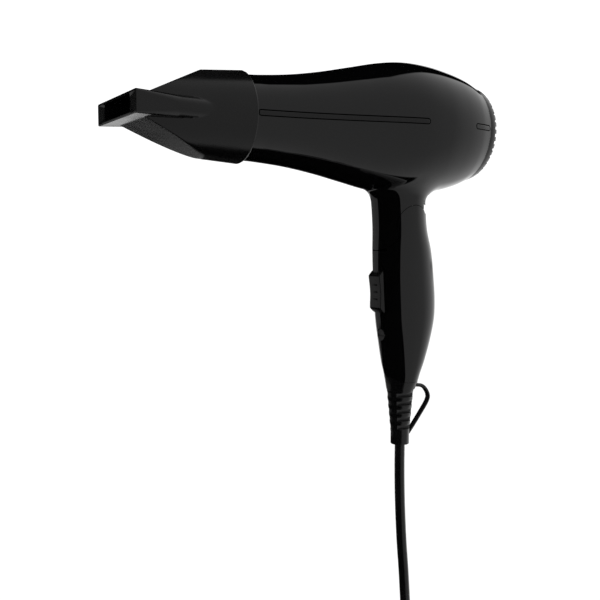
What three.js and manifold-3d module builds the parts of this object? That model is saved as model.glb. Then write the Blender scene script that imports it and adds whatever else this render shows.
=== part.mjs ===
// Folding travel hair dryer, as the separate pieces it is assembled from.
// Millimetres, +Z up. The barrel lies along X with its nozzle towards -X, the handle hangs
// down from it, and the origin is the middle of the grip.
import * as THREE from 'three';
import { mergeVertices } from 'three/addons/utils/BufferGeometryUtils.js';
import Module from 'manifold-3d';

const wasm = await Module();
wasm.setup();

// ---------------------------------------------------------------- driving dimensions
const GAP = 0.3;
const WALL = 2;
// past everything that a cutting shape has to reach
const FAR = 40;

const BARREL_AXIS_Z = 104.6;
const BARREL_FRONT_X = -112;
const BARREL_LENGTH = 156;
const BARREL_SEGMENTS = 32;
const REAR_OPENING_RADIUS = 26;
const SPIGOT = { length: 19, radius: 21.2, bore: 19.2 };
// distance behind the nozzle collar, outside radius
const BARREL_OUTLINE = [
  [0, 23.2], [10, 23.7], [30, 25.7], [50, 29], [70, 33.3], [90, 37.6],
  [105, 39.4], [120, 39], [135, 36.9], [147, 34.1], [156, 30.8],
];

const NOZZLE = {
  tipX: -180.9, rootX: -136, rearX: -112, wall: 1.6,
  bodyFrontX: -174, bodyFrontRadius: 20.5, bodyRearRadius: 25.3, innerRadius: 20.5, bore: 21.5,
  cutStartX: -171.7, cutHalfHeight: 6.3, cutSlope: 0.468,
};
// half width, half width where the corner starts, half height, half height of the flat side
const DUCT_MOUTH = [30.7, 29.5, 5.9, 4.8];
const DUCT_ROOT = [23.4, 21.4, 5.6, 3.2];

const STRIP = { halfHeight: 1.5, depth: 0.8, proud: 0.05, endRadius: 1.5, step: 8 };
// where the inlaid strips start and end, as distances behind the nozzle collar
const STRIP_SPANS = [[1, 102.5], [139.7, 154.5]];

const HINGE = {
  x: -0.3, z: 46, ear: 12, knuckle: 11.6, knuckleHalfWidth: 7.5, pin: 1.9, pinHalfLength: 11,
};
const REAR_NOTCH_HALF_WIDTH = 10.9;
// room that the folding handle needs inside the neck, and the ways for the wires
const FOLD_ROOM = { radius: 15.7, halfWidth: 12.4 };
const WIRE_WAYS = [
  { low: [-12, -9.5, 63.2], high: [-1.5, 9.5, 72] }, { low: [-11, -4, 50], high: [-5, 4, 64] },
  { low: [-8, -3, 30], high: [-4, 3, 52] },
];
const NECK = { low: 30, high: 76 };

// grip sections from the barrel down to the strain relief: height, front, rear, half depth
const GRIP_SECTIONS = [
  [76, -29, 22.5, 22],
  [71, -25.2, 19, 19],
  [67.5, -22.8, 17.2, 16.8],
  [64, -21, 15.6, 15.2],
  [60, -20, 14.6, 14.8],
  [45, -19, 15.4, 14.7],
  [30, -19.3, 19.4, 14.5],
  [15, -19, 21.7, 14.2],
  [0, -18.1, 23, 14],
  [-12, -17.2, 22.5, 13.8],
  [-25, -15, 19.3, 13.3],
  [-38, -12.5, 14.8, 12.4],
  [-46, -10.4, 11.4, 11.3],
  [-51, -9.5, 9.9, 10.2],
  [-55.5, -9.1, 8.3, 8.8],
];
const GRIP_POINTS = 24;
const GRIP_ROUNDNESS = 2.15;
const HANDLE_WALL = 2.2;

const RELIEF = {
  x: -0.7, collarBottom: -55.5, topRadius: 8.4, endRadius: 5.8, taperEnd: -83, bottom: -90.4, slots: 5,
  firstSlot: -58.9, slotPitch: 5.1, slotHeight: 2.4, neckRadius: 6.4,
};
// the hanging loop, from the collar down to the end of the relief
const LOOP = { halfWidth: 1.9, halfThickness: 1.2 };
const LOOP_ROUTE = [
  [4, 0, -53.2], [10.6, 0, -54.2], [17, 0, -55.6], [20.8, 0, -60.5], [20.4, 0, -65], [14.5, 0, -73],
  [8, 0, -81], [4, 0, -85.5],
];

const CORD_RADIUS = 3.2;
const HANK = { x: 5, top: -205, halfWidth: 29.6, waist: 14, run: 104, halfThickness: 10.4 };
const hankMiddleZ = HANK.top - HANK.halfWidth - HANK.run / 2;
const TIE = { halfHeight: 7, thickness: 1.4 };
const PLUG = {
  x: 5, y: -20, top: -322, length: 34, pinLength: 19, pinRadius: 2, pinSpacing: 19, pinSeat: 6,
};
// the cord's route from the strain relief to the hank, and from the hank to the plug
const CORD_ROUTE = [
  [-0.7, 0, RELIEF.bottom - GAP], [-0.8, 0, -106], [-0.3, 0, -128], [1.1, 0, -153], [3, 0, -175],
  [4.9, 0, HANK.top + GAP],
];
const TAIL_ROUTE = [
  [-4, -14.6, -232], [-1, -15.6, -250], [2.5, -17, -268], [4.6, -19, -285], [PLUG.x, -19.95, -293],
  [PLUG.x, PLUG.y, -300.6],
];

const HEATER = {
  from: BARREL_FRONT_X + 2, to: BARREL_FRONT_X + 62, sleeve: 18.6, plate: 13.6, thickness: 0.8,
};
const COIL = { radius: 15.6, wire: 0.6, stepsPerTurn: 8 };
const FAN = {
  housingFrom: BARREL_FRONT_X + 82, housingTo: BARREL_FRONT_X + 136,
  outer: 33.2, inner: 31.4, hub: 14.8, tip: 30.4,
};
const VANES = { count: 7, length: 24, thickness: 1.2, lean: 0.25 };
const BLADES = { count: 7, length: 15, thickness: 1.3, lean: 0.75, root: 7.5 };
const MOTOR = { radius: 12.6, length: 30, noseRadius: 4, noseLength: 2, shaftRadius: 1.2, bore: 1.6 };
const CAP = {
  back: BARREL_FRONT_X + 150, face: BARREL_FRONT_X + BARREL_LENGTH + GAP, wall: 1.6, rim: 30.2,
  slotWidth: 2.4,
  slotRings: [{ count: 16, middle: 20.4, length: 9.6 }, { count: 8, middle: 9.4, length: 8.4 }],
};
const FILTER = {
  from: BARREL_FRONT_X + 151, to: BARREL_FRONT_X + 153, rimWidth: 1.5, pitch: 11, wire: 0.4,
};
const SCREW = { shank: 1.2, head: 2.5, headHeight: 1.8, crossReach: 1.5, crossHalf: 0.3, crossDepth: 1 };
const HANDLE_SCREWS = [[4.5, 26], [9.5, -28]];
const SLOT = { halfWidth: 3, low: 1.2, high: 18.4 };
const DIAL = { z: -21, radius: 3.6, front: -15.6, back: -9.4 };
const BUTTON = {
  middle: 6.6, halfLength: 12.8, faceHalfLength: 10.4, halfWidth: 5.8, tilt: 0.052, face: -20.5,
  base: -16.8, hollowRadius: 14.6, hollowX: -4.4, markPitch: 6, markHalfLength: 2.4, markDepth: 0.4,
};
const SWITCH_BODY = { low: [-13.4, -5, -6], high: [-3, 5, 22] };
const SWITCH_WELL = { low: [-14, -2.4, 0], high: [-11.6, 2.4, 20] };
const VOLTAGE_SWITCH = { low: [-9, -4.6, -26], high: [-3.4, 4.6, -16] };
const BOARD = { low: [10, -8, -14], high: [11.6, 8, 16] };
const DIODE = { radius: 1.4, halfLength: 3, x: 8.2, firstZ: -8, pitch: 6, count: 4 };
const LEAD = { radius: 1, side: 1.6 };
const CLAMP = { low: [-5.4, -7.4, -43], high: [4, 7.4, -40] };
const SHEATH_END = { low: -46, high: -36.4 };

// ---------------------------------------------------------------- solids
function indexed(geometry) {
  const bare = new THREE.BufferGeometry();
  bare.setAttribute('position', geometry.getAttribute('position').clone());
  if (geometry.index) {
    bare.setIndex(geometry.index.clone());
  }
  const merged = mergeVertices(bare, 1e-4);
  const corners = [];
  const index = merged.index.array;
  for (let i = 0; i < index.length; i += 3) {
    const [a, b, c] = [index[i], index[i + 1], index[i + 2]];
    if (a !== b && b !== c && c !== a) {
      corners.push(a, b, c);
    }
  }
  merged.setIndex(corners);
  return merged;
}

function signedVolume(geometry) {
  const position = geometry.getAttribute('position');
  const index = geometry.index.array;
  const [a, b, c] = [new THREE.Vector3(), new THREE.Vector3(), new THREE.Vector3()];
  let volume = 0;
  for (let i = 0; i < index.length; i += 3) {
    a.fromBufferAttribute(position, index[i]);
    b.fromBufferAttribute(position, index[i + 1]);
    c.fromBufferAttribute(position, index[i + 2]);
    volume += a.dot(b.cross(c)) / 6;
  }
  return volume;
}

function solidOf(geometry) {
  const closed = indexed(geometry);
  const corners = Uint32Array.from(closed.index.array);
  if (signedVolume(closed) < 0) {
    for (let i = 0; i < corners.length; i += 3) {
      [corners[i + 1], corners[i + 2]] = [corners[i + 2], corners[i + 1]];
    }
  }
  const vertProperties = Float32Array.from(closed.getAttribute('position').array);
  return new wasm.Manifold(new wasm.Mesh({ numProp: 3, vertProperties, triVerts: corners }));
}

function geometryOf(solid) {
  const mesh = solid.getMesh();
  const geometry = new THREE.BufferGeometry();
  geometry.setAttribute('position', new THREE.BufferAttribute(mesh.vertProperties, 3));
  geometry.setIndex(new THREE.BufferAttribute(mesh.triVerts, 1));
  geometry.computeVertexNormals();
  return geometry;
}

function joined(solids) {
  return solids.reduce((whole, solid) => whole.add(solid));
}

function box(low, high) {
  const size = high.map((value, i) => value - low[i]);
  const geometry = new THREE.BoxGeometry(...size);
  geometry.translate(...low.map((value, i) => value + size[i] / 2));
  return solidOf(geometry);
}

// a round bar along an axis; across holds its centre in the other two directions
function bar(axis, radius, from, to, across = [0, 0], segments = 24) {
  const geometry = new THREE.CylinderGeometry(radius, radius, to - from, segments);
  const middle = (from + to) / 2;
  if (axis === 'x') {
    geometry.rotateZ(-Math.PI / 2).translate(middle, across[0], across[1]);
  } else if (axis === 'y') {
    geometry.translate(across[0], middle, across[1]);
  } else {
    geometry.rotateX(Math.PI / 2).translate(across[0], across[1], middle);
  }
  return solidOf(geometry);
}

// a profile of [x, radius] turned about the barrel axis
function turned(profile, segments = BARREL_SEGMENTS) {
  const points = profile.map(([x, radius]) => new THREE.Vector2(radius, x));
  const geometry = new THREE.LatheGeometry(points, segments);
  geometry.rotateZ(-Math.PI / 2).translate(0, 0, BARREL_AXIS_Z);
  return solidOf(geometry);
}

function tubeAlongX(outer, inner, from, to, segments = BARREL_SEGMENTS) {
  return turned([[from, inner], [from, outer], [to, outer], [to, inner], [from, inner]], segments);
}

// a profile of [z, radius] turned about an upright axis
function turnedUpright(profile, x, y, segments = 20) {
  const points = profile.map(([z, radius]) => new THREE.Vector2(radius, z));
  const geometry = new THREE.LatheGeometry(points, segments);
  geometry.rotateX(Math.PI / 2).translate(x, y, 0);
  return solidOf(geometry);
}

// an outline in the XZ plane, as a plate from one Y to another
function sidePlate(outline, fromY, toY) {
  const settings = { depth: toY - fromY, bevelEnabled: false, curveSegments: 8 };
  const geometry = new THREE.ExtrudeGeometry(outline, settings);
  geometry.rotateX(Math.PI / 2).translate(0, toY, 0);
  return solidOf(geometry);
}

function polygon(corners) {
  return new THREE.Shape(corners.map(([x, z]) => new THREE.Vector2(x, z)));
}

function loft(rings) {
  const count = rings[0].length;
  const positions = [];
  const corners = [];
  rings.flat().forEach((point) => positions.push(...point));
  for (let r = 0; r + 1 < rings.length; r += 1) {
    for (let i = 0; i < count; i += 1) {
      const next = (i + 1) % count;
      const [a, b] = [r * count + i, r * count + next];
      const [c, d] = [a + count, b + count];
      corners.push(a, b, d, a, d, c);
    }
  }
  for (const [ring, flip] of [[0, true], [rings.length - 1, false]]) {
    const centre = positions.length / 3;
    const middle = [0, 1, 2].map((k) => rings[ring].reduce((sum, p) => sum + p[k], 0) / count);
    positions.push(...middle);
    for (let i = 0; i < count; i += 1) {
      const [a, b] = [ring * count + i, ring * count + ((i + 1) % count)];
      corners.push(centre, ...(flip ? [b, a] : [a, b]));
    }
  }
  const geometry = new THREE.BufferGeometry();
  geometry.setAttribute('position', new THREE.Float32BufferAttribute(positions, 3));
  geometry.setIndex(corners);
  return solidOf(geometry);
}

// a round or oval cord along a smooth curve through points
function cordAlong(points, halfWidth, halfThickness, sides, steps) {
  const section = new THREE.Shape();
  for (let i = 0; i < sides; i += 1) {
    const angle = (2 * Math.PI * i) / sides;
    const [u, v] = [halfWidth * Math.cos(angle), halfThickness * Math.sin(angle)];
    if (i === 0) {
      section.moveTo(u, v);
    } else {
      section.lineTo(u, v);
    }
  }
  section.closePath();
  const extrudePath = new THREE.CatmullRomCurve3(points.map((point) => new THREE.Vector3(...point)));
  return solidOf(new THREE.ExtrudeGeometry(section, { steps, extrudePath, bevelEnabled: false }));
}

// smooth value of one column of a table of stations, at a place given by its first column
function stationValue(stations, column, place) {
  const rows = [...stations].sort((a, b) => a[0] - b[0]);
  const last = rows.length - 1;
  const at = Math.min(Math.max(place, rows[0][0]), rows[last][0]);
  let i = 0;
  while (i < last - 1 && at > rows[i + 1][0]) {
    i += 1;
  }
  const slope = (k) => {
    const [low, high] = [rows[Math.max(k - 1, 0)], rows[Math.min(k + 1, last)]];
    return (high[column] - low[column]) / (high[0] - low[0]);
  };
  const span = rows[i + 1][0] - rows[i][0];
  const t = (at - rows[i][0]) / span;
  const [p, q] = [rows[i][column], rows[i + 1][column]];
  const h = t * t * (3 - 2 * t);
  return p * (1 - h) + q * h + span * (t * (1 - t) ** 2 * slope(i) - t * t * (1 - t) * slope(i + 1));
}

// ---------------------------------------------------------------- materials and meshes
const group = new THREE.Group();

function finish(color, roughness, metalness = 0) {
  return { color, roughness, metalness };
}

const GLOSS_BLACK = finish(0x101012, 0.12);
const SATIN_BLACK = finish(0x1b1b1c, 0.42);
const SOFT_BLACK = finish(0x161616, 0.7);
const STRAP = finish(0x222222, 0.9);
const STEEL = finish(0xb9bcc0, 0.3, 1);
const BRASS = finish(0xc9a24a, 0.35, 1);
const MICA = finish(0xb8a98c, 0.6);
const NICHROME = finish(0x8e8f92, 0.4, 1);
const WHITE_PLASTIC = finish(0xe8e6e0, 0.5);
const BOARD_GREEN = finish(0x2f6b3c, 0.6);
const LEAD_BLUE = finish(0x2b4d9b, 0.6);
const LEAD_BROWN = finish(0x6b3a1e, 0.6);

function place(name, solid, look) {
  const mesh = new THREE.Mesh(geometryOf(solid), new THREE.MeshStandardMaterial(look));
  mesh.name = name;
  group.add(mesh);
}

// ---------------------------------------------------------------- barrel
function barrelRadius(distance) {
  return stationValue(BARREL_OUTLINE, 1, distance);
}

function barrelX(distance) {
  return BARREL_FRONT_X + distance;
}

const BARREL_STEPS = 13;
const barrelOutside = [];
for (let i = 0; i <= BARREL_STEPS; i += 1) {
  const distance = GAP + ((BARREL_LENGTH - GAP) * i) / BARREL_STEPS;
  barrelOutside.push([barrelX(distance), barrelRadius(distance)]);
}
const barrelInside = [];
const [INSIDE_FROM, INSIDE_TO, INSIDE_STEPS] = [6, 151, 9];
for (let i = 0; i <= INSIDE_STEPS; i += 1) {
  const distance = INSIDE_FROM + ((INSIDE_TO - INSIDE_FROM) * i) / INSIDE_STEPS;
  barrelInside.push([barrelX(distance), barrelRadius(distance) - WALL]);
}

const spigotEndX = barrelX(-SPIGOT.length);
const barrelOuter = turned([
  [spigotEndX, 0], [spigotEndX, SPIGOT.radius], [barrelX(GAP), SPIGOT.radius],
  ...barrelOutside, [barrelX(BARREL_LENGTH), 0],
]);
const barrelInner = turned([
  [spigotEndX - 1, 0], [spigotEndX - 1, SPIGOT.bore], [barrelX(2), SPIGOT.bore],
  ...barrelInside, [barrelX(INSIDE_TO + 1.5), REAR_OPENING_RADIUS],
  [barrelX(BARREL_LENGTH + 1), REAR_OPENING_RADIUS],
  [barrelX(BARREL_LENGTH + 1), 0],
]);

// ---------------------------------------------------------------- grip surface
function gripRing(z, inset = 0) {
  const front = stationValue(GRIP_SECTIONS, 1, z) + inset;
  const rear = stationValue(GRIP_SECTIONS, 2, z) - inset;
  const depth = stationValue(GRIP_SECTIONS, 3, z) - inset;
  const [middle, half] = [(front + rear) / 2, (rear - front) / 2];
  const ring = [];
  const power = 2 / GRIP_ROUNDNESS;
  for (let i = 0; i < GRIP_POINTS; i += 1) {
    const angle = (2 * Math.PI * i) / GRIP_POINTS;
    const [c, s] = [Math.cos(angle), Math.sin(angle)];
    const x = middle + half * Math.sign(c) * Math.abs(c) ** power;
    const y = depth * Math.sign(s) * Math.abs(s) ** power;
    ring.push([x, y, z]);
  }
  return ring;
}

function gripLoft(fromZ, toZ, steps, inset = 0) {
  const rings = [];
  for (let i = 0; i <= steps; i += 1) {
    rings.push(gripRing(fromZ + ((toZ - fromZ) * i) / steps, inset));
  }
  return loft(rings);
}

// the side view outline below the fold seam, without the round ears
function belowSeam(clear) {
  const shift = clear / Math.SQRT2;
  return polygon([
    [-FAR, 30.6 + clear], [-19.4, 30.6 + clear], [-14.9 - shift, 33.6 + shift],
    [-12.2 - shift, 36.9 + shift], [-10.2 - shift, 39.8 + shift], [HINGE.x, HINGE.z],
    [HINGE.x, 53.3 + clear], [FAR, 53.3 + clear], [FAR, -80], [-FAR, -80],
  ]);
}

function hingeDisc(radius, fromY, toY, segments = 32) {
  return bar('y', radius, fromY, toY, [HINGE.x, HINGE.z], segments);
}

const knuckle = HINGE.knuckleHalfWidth;

// ---------------------------------------------------------------- barrel halves with neck and knuckle
function buildBarrelHalves() {
  const neck = gripLoft(NECK.low, NECK.high, 9).subtract(barrelInner);
  const seamClear = sidePlate(belowSeam(GAP), -FAR, FAR)
    .subtract(hingeDisc(HINGE.knuckle, -knuckle, knuckle));
  const earClear = [
    hingeDisc(HINGE.ear + GAP, -FAR, -knuckle), hingeDisc(HINGE.ear + GAP, knuckle, FAR),
  ];
  const notchOutline = polygon([
    [HINGE.x, HINGE.z], [HINGE.x - 8.7, HINGE.z + 14], [HINGE.x - 5.1, 62], [HINGE.x, 62.7], [7.7, 64],
    [14.5, 65.4], [18, 65.8], [FAR, 65.8], [FAR, 20], [12, 20],
  ]);
  const innerNotch = sidePlate(notchOutline, -FAR, FAR)
    .intersect(hingeDisc(FOLD_ROOM.radius, -FOLD_ROOM.halfWidth, FOLD_ROOM.halfWidth));
  const notch = sidePlate(notchOutline, -REAR_NOTCH_HALF_WIDTH, REAR_NOTCH_HALF_WIDTH)
    .add(innerNotch).subtract(hingeDisc(HINGE.knuckle, -knuckle, knuckle));
  const pinBore = hingeDisc(HINGE.pin + GAP, -FAR, FAR, 20);
  const wireWays = WIRE_WAYS.map(({ low, high }) => box(low, high));
  let shell = barrelOuter.subtract(barrelInner).add(neck);
  for (const cutter of [seamClear, ...earClear, notch, pinBore, ...wireWays]) {
    shell = shell.subtract(cutter);
  }
  for (const side of [-1, 1]) {
    for (const [from, to] of STRIP_SPANS) {
      shell = shell.subtract(stripSolid(side, from, to, GAP));
    }
  }
  return shell;
}

// ---------------------------------------------------------------- inlaid strips along both sides
// how much of its full height a strip has at a distance from its rounded end
function endShare(fromEnd) {
  const short = STRIP.endRadius - fromEnd;
  if (short <= 0) {
    return 1;
  }
  return Math.sqrt(Math.max(1 - (short / STRIP.endRadius) ** 2, 0.06));
}

function stripSolid(side, from, to, clear) {
  const [start, end] = [from - clear, to + clear];
  const round = [0, 0.12, 0.4, 1].map((share) => share * STRIP.endRadius);
  const steps = Math.max(3, Math.round((end - start - 2 * STRIP.endRadius) / STRIP.step));
  const straight = [];
  for (let i = 1; i < steps; i += 1) {
    straight.push(start + STRIP.endRadius + ((end - start - 2 * STRIP.endRadius) * i) / steps);
  }
  const places = [...round.map((d) => start + d), ...straight, ...round.map((d) => end - d).reverse()];
  const rings = places.map((distance) => {
    const height = (STRIP.halfHeight + clear) * endShare(Math.min(distance - start, end - distance));
    const radius = barrelRadius(distance);
    const [low, high] = [radius - STRIP.depth - clear, radius + (clear ? 3 : STRIP.proud)];
    const corners = [[low, -height], [high, -height], [high, height], [low, height]];
    return corners.map(([y, z]) => [barrelX(distance), side * y, BARREL_AXIS_Z + z]);
  });
  return loft(rings);
}

const barrelShell = buildBarrelHalves();
// the shells meet along Y = 0: each is the whole shape with the other side cut off
const leftCutter = box([-250, -GAP / 2, -80], [80, 60, 200]);
const rightCutter = box([-250, -60, -80], [80, GAP / 2, 200]);
place('barrel_left', barrelShell.subtract(leftCutter), GLOSS_BLACK);
place('barrel_right', barrelShell.subtract(rightCutter), GLOSS_BLACK);
for (const [name, side] of [['left', -1], ['right', 1]]) {
  place(`side_strip_front_${name}`, stripSolid(side, ...STRIP_SPANS[0], 0), SATIN_BLACK);
  place(`side_strip_rear_${name}`, stripSolid(side, ...STRIP_SPANS[1], 0), SATIN_BLACK);
}

// a self-tapping screw along Y with its head towards +Y
function screw([x, z], tipY, headY) {
  const topY = headY + SCREW.headHeight;
  const shank = bar('y', SCREW.shank, tipY, headY + 0.2, [x, z], 12);
  const head = bar('y', SCREW.head, headY, topY, [x, z], 20);
  const [long, short, lowY] = [SCREW.crossReach, SCREW.crossHalf, topY - SCREW.crossDepth];
  const cross = box([x - long, lowY, z - short], [x + long, topY + 1, z + short])
    .add(box([x - short, lowY, z - long], [x + short, topY + 1, z + long]));
  return shank.add(head).subtract(cross);
}

// ---------------------------------------------------------------- concentrator nozzle
function ductRing(x, halfWidth, cornerHalfWidth, halfHeight, sideHalfHeight) {
  const quarter = [[halfWidth, sideHalfHeight], [cornerHalfWidth, halfHeight]];
  const outline = [
    ...quarter, ...quarter.map(([y, z]) => [-y, z]).reverse(),
    ...quarter.map(([y, z]) => [-y, -z]), ...quarter.map(([y, z]) => [y, -z]).reverse(),
  ];
  return outline.map(([y, z]) => [x, y, BARREL_AXIS_Z + z]);
}

// the flat duct between its mouth and where it ends inside the round body
function ductSolid(inset, fromX, toX) {
  const shrink = [inset, inset, inset, inset / 2];
  const at = (x) => {
    const t = (x - NOZZLE.tipX) / (NOZZLE.rootX - NOZZLE.tipX);
    return ductRing(x, ...DUCT_MOUTH.map((mouth, i) => mouth + (DUCT_ROOT[i] - mouth) * t - shrink[i]));
  };
  return loft([at(fromX), at(toX)]);
}

// what is left between the two sloping cuts
function betweenCuts(inset) {
  const height = (x) => NOZZLE.cutHalfHeight - inset + NOZZLE.cutSlope * (x - NOZZLE.cutStartX);
  const [frontX, rearX] = [NOZZLE.bodyFrontX, NOZZLE.rearX + 2];
  const z = BARREL_AXIS_Z;
  const outline = polygon([
    [frontX, z - height(frontX)], [rearX, z - height(rearX)],
    [rearX, z + height(rearX)], [frontX, z + height(frontX)],
  ]);
  return sidePlate(outline, -FAR, FAR);
}

function buildNozzle() {
  const n = NOZZLE;
  const spigotFrontX = barrelX(-SPIGOT.length) - GAP;
  const outside = turned([
    [n.bodyFrontX, 0], [n.bodyFrontX, n.bodyFrontRadius], [n.rearX - 0.6, n.bodyRearRadius],
    [n.rearX, n.bodyRearRadius - 0.5], [n.rearX, 0],
  ], 48).intersect(betweenCuts(0)).add(ductSolid(0, n.tipX, n.rootX));
  const inside = turned([
    [n.bodyFrontX + 3, 0], [n.bodyFrontX + 3, n.bodyFrontRadius - n.wall],
    [spigotFrontX - 1, n.innerRadius], [spigotFrontX, n.bore], [n.rearX + 1, n.bore], [n.rearX + 1, 0],
  ], 48).intersect(betweenCuts(n.wall + 0.2)).add(ductSolid(n.wall, n.tipX - 1, n.rootX - 4));
  return outside.subtract(inside);
}
place('concentrator_nozzle', buildNozzle(), SATIN_BLACK);

// ---------------------------------------------------------------- outlet grille
function outletGrille() {
  const [from, to] = [barrelX(-14), barrelX(-10)];
  const reach = SPIGOT.bore - GAP;
  let grille = tubeAlongX(reach, reach - 1.6, from, to, 24).add(tubeAlongX(11, 9.8, from, to, 16));
  grille = grille.add(bar('x', 3, from, to, [0, BARREL_AXIS_Z], 12));
  for (let i = 0; i < 3; i += 1) {
    const spoke = new THREE.BoxGeometry(to - from, 2 * reach - 1, 1.2);
    spoke.rotateX((Math.PI * i) / 3).translate((from + to) / 2, 0, BARREL_AXIS_Z);
    grille = grille.add(solidOf(spoke));
  }
  return grille;
}
place('outlet_grille', outletGrille(), SATIN_BLACK);

// ---------------------------------------------------------------- heater
place('mica_sleeve', tubeAlongX(HEATER.sleeve, HEATER.sleeve - 0.6, HEATER.from, HEATER.to, 32), MICA);

// two mica plates that cross, each slotted half way along so that the other slides in
function micaPlate(upright) {
  const { from, to, plate, thickness } = HEATER;
  const [x0, x1] = [from + 4, to - 4];
  const middle = (x0 + x1) / 2;
  const z = BARREL_AXIS_Z;
  const slot = thickness / 2 + GAP;
  if (upright) {
    return box([x0, -thickness / 2, z - plate], [x1, thickness / 2, z + plate])
      .subtract(box([middle - GAP, -5, z - slot], [x1 + 1, 5, z + slot]));
  }
  return box([x0, -plate, z - thickness / 2], [x1, plate, z + thickness / 2])
    .subtract(box([x0 - 1, -slot, z - 5], [middle + GAP, slot, z + 5]));
}
place('mica_plate_upright', micaPlate(true), MICA);
place('mica_plate_level', micaPlate(false), MICA);

// a heater wire wound round the crossed plates
function heaterCoil(fromX, toX, turns) {
  const points = [];
  const steps = turns * COIL.stepsPerTurn;
  for (let i = 0; i <= steps; i += 1) {
    const angle = (2 * Math.PI * i) / COIL.stepsPerTurn;
    const x = fromX + ((toX - fromX) * i) / steps;
    points.push([x, COIL.radius * Math.cos(angle), BARREL_AXIS_Z + COIL.radius * Math.sin(angle)]);
  }
  return cordAlong(points, COIL.wire, COIL.wire, 5, steps);
}
place('heater_coil_low', heaterCoil(HEATER.from + 7, HEATER.from + 25, 4), NICHROME);
place('heater_coil_high', heaterCoil(HEATER.from + 30, HEATER.from + 51, 5), NICHROME);
const thermostat = box([barrelX(40), 1, BARREL_AXIS_Z + 1], [barrelX(50), 8, BARREL_AXIS_Z + 5]);
place('thermostat', thermostat, BRASS);
place('thermal_fuse', bar('x', 2, barrelX(14), barrelX(26), [-4.5, BARREL_AXIS_Z - 4], 14), STEEL);

// ---------------------------------------------------------------- motor, fan and its housing

function fanHousing() {
  const vanesFrom = FAN.housingFrom + 2;
  const vanesTo = vanesFrom + VANES.length;
  let housing = tubeAlongX(FAN.outer, FAN.inner, FAN.housingFrom, FAN.housingTo, 28)
    .add(tubeAlongX(FAN.hub, MOTOR.radius + 0.5, vanesFrom, vanesTo + 2, 20));
  for (let i = 0; i < VANES.count; i += 1) {
    const vane = new THREE.BoxGeometry(VANES.length, FAN.inner - FAN.hub + 1.4, VANES.thickness);
    vane.rotateY(VANES.lean).translate((vanesFrom + vanesTo) / 2, (FAN.inner + FAN.hub) / 2, 0);
    vane.rotateX((2 * Math.PI * (i + 0.5)) / VANES.count).translate(0, 0, BARREL_AXIS_Z);
    housing = housing.add(solidOf(vane));
  }
  return housing;
}
place('fan_housing', fanHousing(), SATIN_BLACK);

const motorFrontX = FAN.housingFrom;
const motorRearX = motorFrontX + MOTOR.length;
const noseX = motorFrontX - MOTOR.noseLength;
const motorCan = turned([
  [noseX, 0], [noseX, MOTOR.noseRadius], [motorFrontX, MOTOR.noseRadius], [motorFrontX, MOTOR.radius - 1],
  [motorFrontX + 1.5, MOTOR.radius], [motorRearX - 1, MOTOR.radius], [motorRearX, MOTOR.radius - 0.8],
  [motorRearX, MOTOR.bore], [motorRearX - 6, MOTOR.bore], [motorRearX - 6, 0],
], 28);
place('motor_can', motorCan, STEEL);
const shaft = bar('x', MOTOR.shaftRadius, motorRearX - 5.5, motorRearX + 9, [0, BARREL_AXIS_Z], 14);
place('motor_shaft', shaft, STEEL);

function fanImpeller() {
  const from = motorRearX + 2;
  const to = from + BLADES.length;
  const seatX = motorRearX + 9.4;
  const hub = turned([
    [from, 1.5], [from, 10], [from + 9, 9.5], [to - 2, 6], [to, 0], [seatX, 0], [seatX, 1.5], [from, 1.5],
  ], 24);
  let wheel = hub;
  for (let i = 0; i < BLADES.count; i += 1) {
    const blade = new THREE.BoxGeometry(BLADES.length, FAN.tip - BLADES.root, BLADES.thickness);
    blade.rotateY(BLADES.lean).translate((from + to) / 2 - 0.5, (FAN.tip + BLADES.root) / 2, 0);
    blade.rotateX((2 * Math.PI * i) / BLADES.count).translate(0, 0, BARREL_AXIS_Z);
    wheel = wheel.add(solidOf(blade));
  }
  return wheel;
}
place('fan_impeller', fanImpeller(), WHITE_PLASTIC);

// ---------------------------------------------------------------- inlet cap and filter

function inletCap() {
  const skirt = REAR_OPENING_RADIUS - GAP;
  const { back, face, wall, rim } = CAP;
  let cap = turned([
    [back, skirt - wall], [back, skirt], [face, skirt], [face, rim], [face + 3, rim - 0.6],
    [face + 5.6, rim - 2.2], [face + 6.8, rim - 4.6], [face + 7.4, 16], [face + 7.7, 0], [face + 5.7, 0],
    [face + 5.2, 16], [face + 4.6, skirt - wall - 1], [face + 2, skirt - wall], [back, skirt - wall],
  ], 32);
  for (const { count, middle, length } of CAP.slotRings) {
    for (let i = 0; i < count; i += 1) {
      const slot = new THREE.BoxGeometry(8, length, CAP.slotWidth);
      slot.translate(face + 7, middle, 0).rotateX((2 * Math.PI * i) / count);
      cap = cap.subtract(solidOf(slot.translate(0, 0, BARREL_AXIS_Z)));
    }
  }
  return cap;
}
place('inlet_cap', inletCap(), GLOSS_BLACK);

function inletFilter() {
  const { from, to, pitch, wire } = FILTER;
  const radius = REAR_OPENING_RADIUS - GAP - CAP.wall - GAP;
  let filter = tubeAlongX(radius, radius - FILTER.rimWidth, from, to, 24);
  const z = BARREL_AXIS_Z;
  for (let k = -1; k <= 1; k += 1) {
    const half = Math.sqrt((radius - FILTER.rimWidth / 2) ** 2 - (k * pitch) ** 2);
    const [low, high] = [k * pitch - wire, k * pitch + wire];
    filter = filter.add(box([from + 0.5, low, z - half], [to - 0.5, high, z + half]))
      .add(box([from + 0.5, -half, z + low], [to - 0.5, half, z + high]));
  }
  return filter;
}
place('inlet_filter', inletFilter(), STEEL);

// ---------------------------------------------------------------- handle shells

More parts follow.
